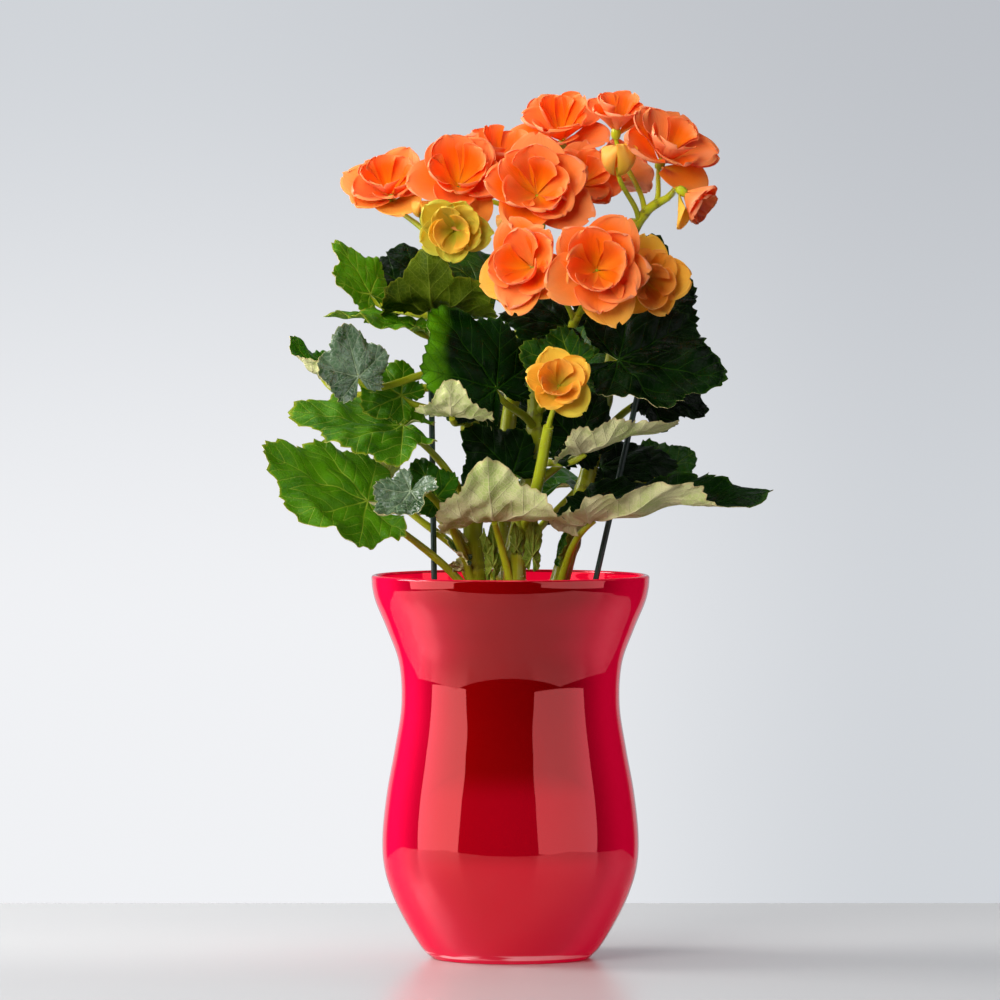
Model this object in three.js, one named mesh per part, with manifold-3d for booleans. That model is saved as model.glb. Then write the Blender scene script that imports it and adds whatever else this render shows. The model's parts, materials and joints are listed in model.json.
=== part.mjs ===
// A potted elatior begonia. Its plastic grow pot hangs in the waist of a red glass vase, four stems rise out of the
// soil with their leaves and orange double flowers, and two thin green stakes stand among them.
// Millimetres, +Z up. The origin is the middle of the vase's foot, and the front of the plant faces -Y.
import * as THREE from "three";
import { mergeVertices } from "three/addons/utils/BufferGeometryUtils.js";
import Module from "manifold-3d";

const wasm = await Module();
wasm.setup();

// Vase, in millimetres: its outside as radius and height, from the foot's edge to the rim.
const vase = {
  outline: [
    [39.6, 0], [45.2, 5.5], [53, 18], [59.6, 31.5], [64, 46], [64.9, 62], [62.6, 84],
    [58.6, 106], [55.3, 128], [56.4, 149], [62.3, 166], [68, 179.6], [70.4, 192.6],
  ],
  wall: 2.8,
  floor: 8,
  sides: 28,
  steps: 12,
};

// Grow pot: a thin taper with a deep lip and drain holes. Its wall meets the vase's waist.
const pot = {
  base: 76, height: 105, baseRadius: 42.5, topRadius: 57.9, wall: 1.2, floor: 1.6, lipRadius: 59.6, lipHeight: 9,
  drains: 5, drainRadius: 4, drainCircle: 31, drainSides: 6, sides: 28,
};

const soil = { top: 173.5, mound: 2.4, sides: 28, rings: [0.5, 0.85] };
const fit = 0.3; // clearance where two pieces meet

const stakes = {
  left: { foot: [-37.2, -2, 98], top: [-40.6, -2, 331] },
  right: { foot: [22, 6, 98], top: [78, 6, 345] },
};
const stakeRadius = 1.5;

// Stems and their branches. Each path runs from its root, and thick is the radius at its root and at its tip.
const limbs = {
  centre: {
    stem: "stem_centre",
    path: [[2, -6, 146], [2, -7, 182], [3, -6, 207], [9, -2, 234], [13, 2, 266], [12, 4, 304], [9, 3, 340]],
    thick: [6.5, 3.6],
  },
  centreHead: { stem: "stem_centre", path: [[9, 3, 334], [13, 2, 356], [17, 2, 380]], thick: [3, 2] },
  frontArm: { stem: "stem_centre", path: [[13, 3, 284], [24, -8, 306], [34, -24, 326]], thick: [3, 2] },
  budArm: { stem: "stem_centre", path: [[7, -5, 216], [13, -20, 238], [19, -38, 270]], thick: [3.4, 2.6] },
  left: {
    stem: "stem_left",
    path: [[-15, 0, 146], [-17, 0, 184], [-19, 1, 216], [-18, 3, 252], [-25, 3, 292], [-34, 2, 338]],
    thick: [6, 3.2],
  },
  leftHead: { stem: "stem_left", path: [[-33, 2, 332], [-38, 0, 350], [-42, -1, 366]], thick: [2.8, 2] },
  right: {
    stem: "stem_right",
    path: [[17, 6, 146], [23, 9, 182], [32, 13, 216], [42, 14, 256], [51, 12, 300], [58, 10, 340], [63, 6, 374]],
    thick: [5.6, 2.8],
  },
  rightHead: { stem: "stem_right", path: [[62, 7, 368], [70, 4, 379], [80, 1, 385]], thick: [2.6, 1.8] },
  back: {
    stem: "stem_back",
    path: [[0, 22, 146], [-2, 28, 190], [-4, 34, 240], [2, 38, 292], [8, 36, 340], [8, 34, 374]],
    thick: [5.6, 2.6],
  },
};

// Leaves. grows: the limb and how far along it the stalk leaves. at: where the stalk meets the blade. aim: azimuth
// and elevation of the midrib. roll: turn about the midrib, raising its left side. reach: midrib length. broad: width
// share. cup: degrees that the left and the right side turn up. curl: the same for the base and the tip. fall: how
// much shorter the blade is beside its notch than at its tip.
const leaves = {
  low_left: {
    grows: ["left", 0.17], at: [-72, -22, 232], aim: [190, 22], roll: -50,
    reach: 58, broad: 0.84, cup: [22, -18], curl: [50, 10],
  },
  low_left_inner: {
    grows: ["left", 0.2], at: [-50, -50, 238], aim: [216, -50], roll: -30,
    reach: 26, cup: [60, 30], curl: [20, 50],
  },
  low_left_up: {
    grows: ["left", 0.26], at: [-64, 12, 243], aim: [30, 58], roll: -62,
    reach: 27, broad: 0.7, cup: [30, 20], curl: [0, 20],
  },
  low_front: {
    grows: ["centre", 0.17], at: [-8, -30, 223], aim: [-94, -4], roll: 3,
    reach: 44, broad: 1.04, cup: [-12, -12], curl: [10, 104], rings: 3, fall: 0.66,
  },
  low_right: {
    grows: ["right", 0.17], at: [40, -20, 223], aim: [-5, 9], roll: 4,
    reach: 87, broad: 0.5, cup: [70, 84], curl: [10, 0], rings: 3, fall: 0.8,
  },
  mid_right: {
    grows: ["centre", 0.52], at: [35, -42, 257], aim: [-4, 16], roll: 4,
    reach: 48, broad: 0.8, cup: [10, 90], curl: [0, 6], fall: 0.7,
  },
  up_right: {
    grows: ["right", 0.6], at: [54, -26, 303], aim: [-10, -8], roll: 60,
    reach: 52, cup: [-10, 60], curl: [0, -10], fall: 0.6,
  },
  up_right_back: {
    grows: ["right", 0.66], at: [66, 20, 322], aim: [70, 70], roll: 14,
    reach: 46, cup: [10, -12], curl: [0, -12],
  },
  right_dark: {
    grows: ["right", 0.5], at: [70, 14, 284], aim: [4, -8], roll: 50,
    reach: 30, cup: [-10, -14], curl: [0, -14], fall: 0.66,
  },
  right_low: {
    grows: ["right", 0.4], at: [76, 33, 243], aim: [30, 34], roll: 50,
    reach: 25, cup: [12, 12], curl: [0, -20],
  },
  right_shade: {
    grows: ["right", 0.28], at: [46, 22, 248], aim: [4, 8], roll: 44,
    reach: 38, broad: 0.7, cup: [-10, 10], curl: [0, -20],
  },
  heart: {
    grows: ["centre", 0.62], at: [-7, -38, 289], aim: [184, 56], roll: -66,
    reach: 49, broad: 0.86, cup: [-24, 16], curl: [0, -14], fall: 0.72,
  },
  left_bright: {
    grows: ["left", 0.64], at: [-55, -17, 285], aim: [178, 34], roll: -62,
    reach: 25, cup: [10, 14], curl: [0, -14],
  },
  pale_front: {
    grows: ["left", 0.62], at: [-29, -59, 276], aim: [-96, -4], roll: -4,
    reach: 27, cup: [-8, -8], curl: [10, 96],
  },
  top_left: {
    grows: ["left", 0.93], at: [-38, -17.5, 328.5], aim: [-98, 2], roll: 0,
    reach: 41, broad: 1, cup: [-12, -16], curl: [10, 102], rings: 3, fall: 0.62,
  },
  left_top: {
    grows: ["left", 0.9], at: [-71, 5, 336], aim: [178, 62], roll: -60,
    reach: 31, broad: 0.7, cup: [50, -20], curl: [0, -20],
  },
  left_yellow: {
    grows: ["left", 0.84], at: [-48, -21, 320], aim: [180, 12], roll: -14,
    reach: 43, broad: 0.8, cup: [24, -10], curl: [0, -4], fall: 0.8,
  },
  left_dark: {
    grows: ["left", 0.77], at: [-76, -48, 295], aim: [164, 74], roll: -70,
    reach: 26, cup: [30, -24], curl: [0, 12],
  },
  left_pale: {
    grows: ["left", 0.72], at: [-93, 12, 293], aim: [170, 38], roll: -20,
    reach: 27, cup: [60, 30], curl: [0, 20],
  },
  left_mid: {
    grows: ["left", 0.4], at: [-54, -20, 270], aim: [180, 4], roll: -24,
    reach: 54, broad: 0.86, cup: [-10, 8], curl: [0, 10], fall: 0.7,
  },
  top_back_left: {
    grows: ["left", 0.92], at: [-48, 18, 337], aim: [104, 60], roll: 0,
    reach: 32, broad: 1.1, cup: [-14, -14], curl: [0, -30],
  },
  top_back: {
    grows: ["back", 0.8], at: [-7, 25, 336], aim: [110, 50], roll: 0,
    reach: 38, cup: [10, 10], curl: [0, -30],
  },
  bract: {
    grows: ["centre", 0.66], at: [31, -35, 301], aim: [184, 10], roll: -64,
    reach: 28, cup: [10, 20], curl: [0, 30],
  },
  low_mid_dark: {
    grows: ["centre", 0.3], at: [1, -14, 246], aim: [174, 46], roll: -76,
    reach: 31.5, cup: [-10, 10], curl: [0, -12], fall: 0.66,
  },
  low_left_dark: {
    grows: ["left", 0.26], at: [-37, -24, 234], aim: [150, 60], roll: -40,
    reach: 22, cup: [10, 14], curl: [0, -12],
  },
  centre_dark: {
    grows: ["centre", 0.46], at: [34, -6, 260], aim: [24, 66], roll: 60,
    reach: 28, cup: [10, 14], curl: [0, -20],
  },
  under_bloom: {
    grows: ["frontArm", 0.3], at: [28, -20, 320], aim: [180, 14], roll: -50,
    reach: 32, broad: 0.8, cup: [-16, -10], curl: [0, -16], fall: 0.7,
  },
  back_low_left: {
    grows: ["back", 0.14], at: [-40, 58, 226], aim: [140, 10], roll: 0,
    reach: 58, cup: [14, 14], curl: [0, -30],
  },
  back_low_right: {
    grows: ["back", 0.2], at: [34, 56, 238], aim: [52, 8], roll: 0,
    reach: 60, cup: [14, 14], curl: [0, -34],
  },
  back_mid: {
    grows: ["back", 0.4], at: [14, 50, 262], aim: [96, 54], roll: 0,
    reach: 52, cup: [18, 12], curl: [0, -40],
  },
  back_up_right: {
    grows: ["back", 0.6], at: [32, 48, 296], aim: [74, 58], roll: 0,
    reach: 48, cup: [12, 12], curl: [0, -36],
  },
};
const blade = {
  notch: 158, // degrees from the tip to each side of the notch where the stalk enters
  spokes: 14, fewSpokes: 10, small: 32, rings: 2, thickness: 0.8, tooth: 0.045,
  broad: 0.94, fall: 0.54, skew: 0.1, wave: 0.05, waves: 5,
};
const stalk = { root: 2.3, tip: 1.5, sides: 5, steps: 3, sink: 1.1, enter: 2, bow: 0.32, follow: 0.62 };

// Flowers. at: the middle of the flower. face: azimuth and elevation of its axis. size: radius when seen face on.
// open: degrees from the axis to which the outer petals open.
const blooms = {
  bloom_left: {
    grows: ["leftHead", 1], at: [-61, 4, 389], face: [-100, 46],
    size: 22, petals: 7, open: 76,
  },
  bloom_left_inner: {
    grows: ["leftHead", 0.9], at: [-26, -20, 393], face: [-86, 36],
    size: 25, petals: 7, open: 82,
  },
  bloom_top_left: {
    grows: ["leftHead", 0.8], at: [-4, 14, 404], face: [-80, 66],
    size: 22, petals: 6, open: 74,
  },
  bloom_centre: {
    grows: ["centreHead", 0.9], at: [13, -36, 388], face: [-92, 26],
    size: 26, petals: 7, open: 80,
  },
  bloom_centre_right: {
    grows: ["centreHead", 1], at: [36, 3, 392], face: [-66, 30],
    size: 20, petals: 6, open: 80,
  },
  bloom_top: {
    grows: ["centreHead", 1], at: [26, 32, 419], face: [-96, 56],
    size: 23, petals: 6, open: 80,
  },
  bloom_top_right: {
    grows: ["rightHead", 0.4], at: [54, 14, 423], face: [-80, 64],
    size: 18, petals: 5, open: 60,
  },
  bloom_right: {
    grows: ["rightHead", 0.7], at: [79, 2, 408], face: [-60, 44],
    size: 25, petals: 7, open: 78,
  },
  bloom_far_right: {
    grows: ["rightHead", 1], at: [90, -19, 385], face: [-24, -34],
    size: 15, petals: 5, open: 46,
  },
  bloom_front_left: {
    grows: ["frontArm", 0.9], at: [9, -53, 350], face: [-116, 10],
    size: 23, petals: 7, open: 74,
  },
  bloom_front: {
    grows: ["frontArm", 1], at: [43, -64, 349], face: [-88, 10],
    size: 25, petals: 7, open: 80,
  },
  bloom_front_right: {
    grows: ["frontArm", 1], at: [68, -39, 343], face: [-72, 4],
    size: 20, petals: 6, open: 68,
  },
  bloom_small: {
    grows: ["budArm", 1], at: [24, -62, 291], face: [-92, 16],
    size: 17, petals: 6, open: 60,
  },
  bloom_young: {
    grows: ["leftHead", 0.7], at: [-28, -39, 368], face: [-96, -4],
    size: 18, petals: 6, open: 54,
  },
  bloom_back_left: {
    grows: ["back", 1], at: [-24, 46, 394], face: [120, 40],
    size: 19, petals: 6, open: 80,
  },
  bloom_back_right: {
    grows: ["back", 0.96], at: [56, 44, 396], face: [50, 44],
    size: 19, petals: 6, open: 80,
  },
};
// Petals. Lengths and widths are shares of the flower's size. The first number is the outermost petal's, and the
// second is what the innermost one lacks of it, as for the angle that they open to.
const petal = {
  thickness: 0.65, turn: 137.5, claw: 0.16, widest: 0.6, round: 0.3, leave: 52,
  length: [1.2, 0.4], width: [1.3, 0.56], open: [1.15, 1.05], ease: 1.4,
  columns: [-1, 0, 1], rows: [0, 0.55, 1],
};
const pedicel = { root: 1.5, tip: 1.1, sides: 5, steps: 3, sink: 1.5 };
const receptacle = { radius: 2.9, depth: 7.4, below: 1.2, above: 1.4, sides: 4 };

// Closed buds and the small bracts under the flower heads, all green like their stems.
const buds = [
  { grows: ["rightHead", 0.2], at: [54, -12, 404], radius: 8.4 },
  { grows: ["leftHead", 1], at: [-45, -14, 379], radius: 4.4 },
  { grows: ["rightHead", 0.9], at: [84, 12, 396], radius: 4.6 },
  { grows: ["back", 0.94], at: [-2, 44, 372], radius: 5 },
];

const colours = {
  glass: { color: 0xb1061f, roughness: 0.12, metalness: 0 },
  plastic: { color: 0x6b3a26, roughness: 0.6, metalness: 0 },
  earth: { color: 0x2d2018, roughness: 1, metalness: 0 },
  stake: { color: 0x16382f, roughness: 0.5, metalness: 0 },
  stem: { color: 0x8c9a2a, roughness: 0.45, metalness: 0 },
  leaf: { color: 0x2f6a1c, roughness: 0.4, metalness: 0 },
  petal: { color: 0xf26a2b, roughness: 0.5, metalness: 0 },
  youngPetal: { color: 0xc9cf5a, roughness: 0.5, metalness: 0 },
};

const degrees = THREE.MathUtils.degToRad;
const point = (xyz) => new THREE.Vector3(...xyz);

// The unit vector at an azimuth (from +X towards +Y) and an elevation, in degrees.
function heading([azimuth, elevation]) {
  const flat = Math.cos(degrees(elevation));
  return new THREE.Vector3(
    flat * Math.cos(degrees(azimuth)),
    flat * Math.sin(degrees(azimuth)),
    Math.sin(degrees(elevation)),
  );
}

// Axes of a piece that points along `along`: its left side and its upper face, turned by roll about `along`.
function axesOf(along, roll = 0) {
  const up = new THREE.Vector3(0, 0, 1).addScaledVector(along, -along.z).normalize();
  const side = up.clone().cross(along);
  const turn = degrees(roll);
  return {
    along,
    side: side.clone().multiplyScalar(Math.cos(turn)).addScaledVector(up, Math.sin(turn)),
    up: up.clone().multiplyScalar(Math.cos(turn)).addScaledVector(side, -Math.sin(turn)),
  };
}

// A solid for joining and cutting, from a closed geometry.
function solidOf(geometry) {
  const bare = new THREE.BufferGeometry().setAttribute("position", geometry.getAttribute("position"));
  bare.setIndex(geometry.getIndex());
  const merged = mergeVertices(bare, 1e-3);
  const corners = merged.getIndex().array;
  const kept = [];
  for (let i = 0; i < corners.length; i += 3) {
    const [a, b, c] = corners.slice(i, i + 3);
    if (a !== b && b !== c && a !== c) kept.push(a, b, c);
  }
  return new wasm.Manifold(
    new wasm.Mesh({
      numProp: 3,
      vertProperties: new Float32Array(merged.getAttribute("position").array),
      triVerts: new Uint32Array(kept),
    }),
  );
}

// The largest body of a solid as a geometry: a cut can leave scraps, which are dropped.
function geometryOf(solid) {
  const bodies = solid.decompose().sort((a, b) => b.volume() - a.volume());
  const mesh = bodies[0].getMesh();
  const vertices = new Float32Array(mesh.numVert * 3);
  for (let i = 0; i < mesh.numVert; i++)
    vertices.set(mesh.vertProperties.subarray(i * mesh.numProp, i * mesh.numProp + 3), i * 3);
  const geometry = new THREE.BufferGeometry();
  geometry.setAttribute("position", new THREE.BufferAttribute(vertices, 3));
  geometry.setIndex(new THREE.BufferAttribute(new Uint32Array(mesh.triVerts), 1));
  geometry.computeVertexNormals();
  return geometry;
}

function geometryFrom(points, index) {
  const geometry = new THREE.BufferGeometry();
  geometry.setAttribute("position", new THREE.Float32BufferAttribute(points.flatMap((p) => [p.x, p.y, p.z]), 3));
  geometry.setIndex(index);
  return geometry;
}

// A closed tube through rings of points, with a flat cap at each end.
function loft(rings) {
  const sides = rings[0].length;
  const last = (rings.length - 1) * sides;
  const index = [];
  for (let ring = 0; ring + 1 < rings.length; ring++)
    for (let i = 0; i < sides; i++) {
      const a = ring * sides + i;
      const b = ring * sides + ((i + 1) % sides);
      index.push(a, b, b + sides, a, b + sides, a + sides);
    }
  for (let i = 1; i + 1 < sides; i++) index.push(0, i + 1, i, last, last + i, last + i + 1);
  return solidOf(geometryFrom(rings.flat(), index));
}

// A round limb along a curve, tapering from one radius to another. spread widens it all over.
function taper(curve, [from, to], sides, steps, spread = 0) {
  const frames = curve.computeFrenetFrames(steps, false);
  const rings = [];
  for (let step = 0; step <= steps; step++) {
    const share = step / steps;
    const centre = curve.getPointAt(share);
    const radius = from + (to - from) * share + spread;
    const ring = [];
    for (let i = 0; i < sides; i++) {
      const angle = (i / sides) * 2 * Math.PI;
      ring.push(
        centre
          .clone()
          .addScaledVector(frames.normals[step], radius * Math.cos(angle))
          .addScaledVector(frames.binormals[step], radius * Math.sin(angle)),
      );
    }
    rings.push(ring);
  }
  return loft(rings);
}

// A thin sheet given as a grid of points becomes a closed solid, cut into the same triangles on both faces.
function thicken(points, triangles, thickness) {
  const surface = geometryFrom(points, triangles.flat());
  surface.computeVertexNormals();
  const normals = surface.getAttribute("normal");
  const offset = (share) =>
    points.map((p, i) => p.clone().addScaledVector(new THREE.Vector3().fromBufferAttribute(normals, i), share));
  const count = points.length;
  const edges = new Set(triangles.flatMap(([a, b, c]) => [`${a} ${b}`, `${b} ${c}`, `${c} ${a}`]));
  const index = [];
  for (const [a, b, c] of triangles) index.push(a, b, c, a + count, c + count, b + count);
  for (const edge of edges) {
    const [a, b] = edge.split(" ").map(Number);
    if (!edges.has(`${b} ${a}`)) index.push(a + count, b + count, b, a + count, b, a);
  }
  return solidOf(geometryFrom([...offset(thickness / 2), ...offset(-thickness / 2)], index));
}

// Where a point of a flat strip lands when the strip is rolled up by turn degrees over its length.
function rolled(along, height, turn, length) {
  const bend = degrees(turn) / length;
  if (Math.abs(bend) < 1e-5) return [along, height];
  return [(1 / bend - height) * Math.sin(bend * along), 1 / bend - (1 / bend - height) * Math.cos(bend * along)];
}

// Distance from the stalk to the blade's margin, at an angle from the tip, for a midrib of length 1.
function margin(angle, fall) {
  const back = Math.abs(angle) / degrees(blade.notch);
  const outline = 0.92 - fall * back ** 1.5 + 0.08 * Math.exp(-((angle / 0.28) ** 2));
  return (outline + 0.035 * Math.cos(angle * 5)) * (1 + blade.skew * Math.sin(angle));
}

// The blade's flat point at an angle from the tip and a share of the way to the margin, bent into shape.
function bladePoint(leaf, angle, share, tooth) {
  const { reach, cup, curl, broad = blade.broad, fall = blade.fall } = leaf;
  const radius = reach * share * (margin(angle, fall) + tooth * share ** 4);
  const x = radius * Math.cos(angle);
  const y = radius * Math.sin(angle) * broad;
  const ripple = reach * blade.wave * Math.sin(blade.waves * angle + reach) * share ** 2.5;
  const [across, lift] = rolled(Math.abs(y), ripple, y > 0 ? cup[0] : cup[1], reach * broad * 0.75);
  const [forward, height] = rolled(Math.abs(x), lift, x > 0 ? curl[1] : curl[0], reach * (x > 0 ? 1 : 0.5));
  const { along, side, up } = axesOf(heading(leaf.aim), leaf.roll);
  return point(leaf.at)
    .addScaledVector(along, Math.sign(x) * forward)
    .addScaledVector(side, Math.sign(y) * across)
    .addScaledVector(up, height);
}

// Small leaves have fewer teeth, and strongly rolled ones more rings.
function bladeSolid(leaf) {
  const half = degrees(blade.notch);
  const { rings = blade.rings } = leaf;
  const spokes = leaf.reach < blade.small ? blade.fewSpokes : blade.spokes;
  const points = [point(leaf.at)];
  for (let ring = 1; ring <= rings; ring++)
    for (let spoke = 0; spoke <= spokes; spoke++) {
      const angle = half * ((2 * spoke) / spokes - 1);
      const tooth = spoke % 2 ? -blade.tooth : blade.tooth;
      points.push(bladePoint(leaf, angle, ring / rings, tooth));
    }
  const across = spokes + 1;
  const triangles = [];
  for (let spoke = 0; spoke < spokes; spoke++) {
    triangles.push([0, 1 + spoke, 2 + spoke]);
    for (let ring = 0; ring + 1 < rings; ring++) {
      const a = 1 + ring * across + spoke;
      triangles.push([a, a + across, a + across + 1], [a, a + across + 1, a + 1]);
    }
  }
  return thicken(points, triangles, blade.thickness);
}

const limbCurves = Object.fromEntries(
  Object.entries(limbs).map(([name, limb]) => [name, new THREE.CatmullRomCurve3(limb.path.map(point))]),
);
const limbSides = 6;

function limbSolid(name, spread = 0) {
  return taper(limbCurves[name], limbs[name].thick, limbSides, limbs[name].path.length - 1, spread);
}

// A stalk that leaves its limb, partly along it, and reaches end while heading along `arrive`.
function stalkCurve([limb, share], end, arrive) {
  const start = limbCurves[limb].getPointAt(share);
  const reach = start.distanceTo(end) * stalk.bow;
  const leave = limbCurves[limb].getTangentAt(share).multiplyScalar(stalk.follow);
  leave.addScaledVector(end.clone().sub(start).normalize(), 1).normalize();
  return new THREE.CubicBezierCurve3(
    start,
    start.clone().addScaledVector(leave, reach),
    end.clone().addScaledVector(arrive, -reach),
    end,
  );
}

function leafSolid(leaf) {
  const { along, up } = axesOf(heading(leaf.aim), leaf.roll);
  const end = point(leaf.at).addScaledVector(up, -stalk.sink).addScaledVector(along, stalk.enter);
  const arrive = along.clone().addScaledVector(up, 0.5).normalize();
  const curve = stalkCurve(leaf.grows, end, arrive);
  return bladeSolid(leaf).add(taper(curve, [stalk.root, stalk.tip], stalk.sides, stalk.steps));
}

// A petal in its flower's own frame. It leaves the axis at the angle `leave` and bends to the angle `to`, in degrees,
// and follows a cone across its width, so that petals higher up the axis lie inside those below.
function petalSheet(axes, base, { azimuth, length, width, to, lift }) {
  const bend = degrees(to - petal.leave) / length;
  const start = degrees(petal.leave);
  const points = [];
  for (const row of petal.rows)
    for (const column of petal.columns) {
      const reach = length * row * (1 - petal.round * column ** 2 * row);
      const angle = start + bend * reach;
      const rise = row < petal.widest ? row / petal.widest : 1 - 0.24 * (row - petal.widest);
      const half = (width / 2) * (petal.claw + (1 - petal.claw) * rise);
      const radial = 1 + (Math.cos(start) - Math.cos(angle)) / bend;
      const height = lift + (Math.sin(angle) - Math.sin(start)) / bend;
      const turn = degrees(azimuth) + column * Math.min(0.5 + 0.5 * row, half / radial);
      points.push(
        base
          .clone()
          .addScaledVector(axes.side, radial * Math.cos(turn))
          .addScaledVector(axes.up, radial * Math.sin(turn))
          .addScaledVector(axes.along, height),
      );
    }
  const across = petal.columns.length;
  const triangles = [];
  for (let row = 0; row + 1 < petal.rows.length; row++)
    for (let column = 0; column + 1 < across; column++) {
      const a = row * across + column;
      triangles.push([a, a + across + 1, a + 1], [a, a + across, a + across + 1]);
    }
  return thicken(points, triangles, petal.thickness);
}

// Where a flower's petals leave its axis: behind its middle by a share of its size.
const bloomBase = (bloom) => point(bloom.at).addScaledVector(heading(bloom.face), -0.42 * bloom.size);

// Petals in a spiral round a small green receptacle: wide open ones outside, short upright ones inside.
function bloomSolid(bloom) {
  const axes = axesOf(heading(bloom.face));
  const base = bloomBase(bloom);
  const { radius, depth, below, above, sides } = receptacle;
  const core = new THREE.LineCurve3(
    base.clone().addScaledVector(axes.along, -below),
    base.clone().addScaledVector(axes.along, depth + above),
  );
  let solid = taper(core, [radius * 0.85, radius], sides, 1);
  for (let i = 0; i < bloom.petals; i++) {
    const inward = i / (bloom.petals - 1);
    const share = ([outermost, lack]) => outermost - lack * inward ** petal.ease;
    const sheet = petalSheet(axes, base, {
      azimuth: i * petal.turn + bloom.size * 40,
      length: bloom.size * share(petal.length),
      width: bloom.size * share(petal.width),
      to: bloom.open * share(petal.open),
      lift: inward * depth,
    });
    solid = solid.add(sheet);
  }
  return solid;
}

function pedicelSolid(bloom, spread = 0) {
  const facing = heading(bloom.face);
  const end = bloomBase(bloom).addScaledVector(facing, pedicel.sink);
  const curve = stalkCurve(bloom.grows, end, facing);
  return taper(curve, [pedicel.root, pedicel.tip], pedicel.sides, pedicel.steps, spread);
}

// A closed bud: a small ball, drawn out a little, at the end of its own pedicel.
function budSolid(bud) {
  const centre = point(bud.at);
  const ball = new THREE.SphereGeometry(bud.radius, 8, 6).rotateX(Math.PI / 2).scale(0.9, 0.75, 1);
  ball.translate(centre.x, centre.y, centre.z);
  const end = point(bud.at).setZ(bud.at[2] - bud.radius / 2);
  const curve = stalkCurve(bud.grows, end, new THREE.Vector3(0, 0, 1));
  return solidOf(ball).add(taper(curve, [pedicel.root, pedicel.tip], pedicel.sides, pedicel.steps));
}

const stemNames = [...new Set(Object.values(limbs).map((limb) => limb.stem))];
const ofStem = (stem, pieces) => pieces.filter((piece) => limbs[piece.grows[0]].stem === stem);

// A stem with its branches, the pedicels of its flowers and its buds, in one body.
function stemSolid(stem) {
  const names = Object.keys(limbs).filter((name) => limbs[name].stem === stem);
  return [
    ...names.map((name) => limbSolid(name)),
    ...ofStem(stem, Object.values(blooms)).map((bloom) => pedicelSolid(bloom)),
    ...ofStem(stem, buds).map(budSolid),
  ].reduce((whole, piece) => whole.add(piece));
}

// A solid of revolution about +Z, from a profile of radius and height that goes up the outside and down the inside.
function turned(profile, sides) {
  const points = profile.map(([radius, height]) => new THREE.Vector2(radius, height));
  return solidOf(new THREE.LatheGeometry(points, sides).rotateX(Math.PI / 2));
}

function vaseSolid() {
  const outline = new THREE.SplineCurve(vase.outline.map((p) => new THREE.Vector2(...p)));
  const outside = outline.getPoints(vase.steps);
  const inside = [];
  for (let i = 0; i <= vase.steps; i++) {
    const slope = outline.getTangent(i / vase.steps);
    const p = outside[i];
    inside.unshift([p.x - vase.wall * slope.y, p.y + vase.wall * slope.x]);
  }
  const rim = vase.outline.at(-1);
  const lip = [rim[0] - vase.wall / 2, rim[1] + vase.wall / 2];
  const hollow = inside.filter(([, height]) => height > vase.floor + 3);
  const corner = hollow.at(-1)[0] - 5;
  return turned(
    [[0, 0], ...outside.map((p) => [p.x, p.y]), lip, ...hollow, [corner, vase.floor], [0, vase.floor]],
    vase.sides,
  );
}

function potProfile() {
  const top = pot.base + pot.height;
  const under = top - pot.lipHeight;
  const outer = (height) => pot.baseRadius + ((pot.topRadius - pot.baseRadius) * (height - pot.base)) / pot.height;
  return { top, under, outer };
}

function potSolid() {
  const { top, under, outer } = potProfile();
  const inner = (height) => outer(height) - pot.wall;
  let solid = turned(
    [
      [0, pot.base], [pot.baseRadius, pot.base], [outer(under), under], [pot.lipRadius, under + 0.4],
      [pot.lipRadius, top], [inner(top) + 0.6, top], [inner(under), under],
      [inner(pot.base + pot.floor), pot.base + pot.floor], [0, pot.base + pot.floor],
    ],
    pot.sides,
  );
  for (let i = 0; i < pot.drains; i++) {
    const drain = new THREE.CylinderGeometry(pot.drainRadius, pot.drainRadius, 4 * pot.floor, pot.drainSides)
      .rotateX(Math.PI / 2);
    const angle = (i / pot.drains) * 2 * Math.PI;
    drain.translate(pot.drainCircle * Math.cos(angle), pot.drainCircle * Math.sin(angle), pot.base);
    solid = solid.subtract(solidOf(drain));
  }
  return solid;
}

function stakeSolid({ foot, top }, spread = 0) {
  return taper(new THREE.LineCurve3(point(foot), point(top)), [stakeRadius, stakeRadius], 8, 1, spread);
}

// The soil fills the pot to just under its lip, a little higher in the middle, with holes for all that stands in it.
function soilSolid() {
  const { outer } = potProfile();
  const inside = (height) => outer(height) - pot.wall - fit;
  const floor = pot.base + pot.floor + fit;
  const edge = inside(soil.top);
  const mound = soil.rings.map((share) => [edge * share, soil.top + soil.mound * (1 - share ** 2)]).reverse();
  let solid = turned(
    [[0, floor], [inside(floor), floor], [edge, soil.top], ...mound, [0, soil.top + soil.mound]],
    soil.sides,
  );
  for (const name of Object.keys(limbs)) solid = solid.subtract(limbSolid(name, fit));
  for (const stake of Object.values(stakes)) solid = solid.subtract(stakeSolid(stake, fit));
  return solid;
}

const begonia = new THREE.Group();

function add(name, solid, colour) {
  const mesh = new THREE.Mesh(geometryOf(solid), new THREE.MeshStandardMaterial(colour));
  mesh.name = name;
  begonia.add(mesh);
}

add("vase", vaseSolid(), colours.glass);
add("grow_pot", potSolid(), colours.plastic);
add("soil", soilSolid(), colours.earth);
for (const [side, stake] of Object.entries(stakes)) add(`stake_${side}`, stakeSolid(stake), colours.stake);
for (const stem of stemNames) add(stem, stemSolid(stem), colours.stem);
for (const [name, leaf] of Object.entries(leaves))
  add(`leaf_${name}`, leafSolid(leaf).subtract(limbSolid(leaf.grows[0], fit)), colours.leaf);
for (const [name, bloom] of Object.entries(blooms)) {
  const young = name === "bloom_young";
  add(name, bloomSolid(bloom).subtract(pedicelSolid(bloom, fit)), young ? colours.youngPetal : colours.petal);
}

export default begonia;
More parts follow.
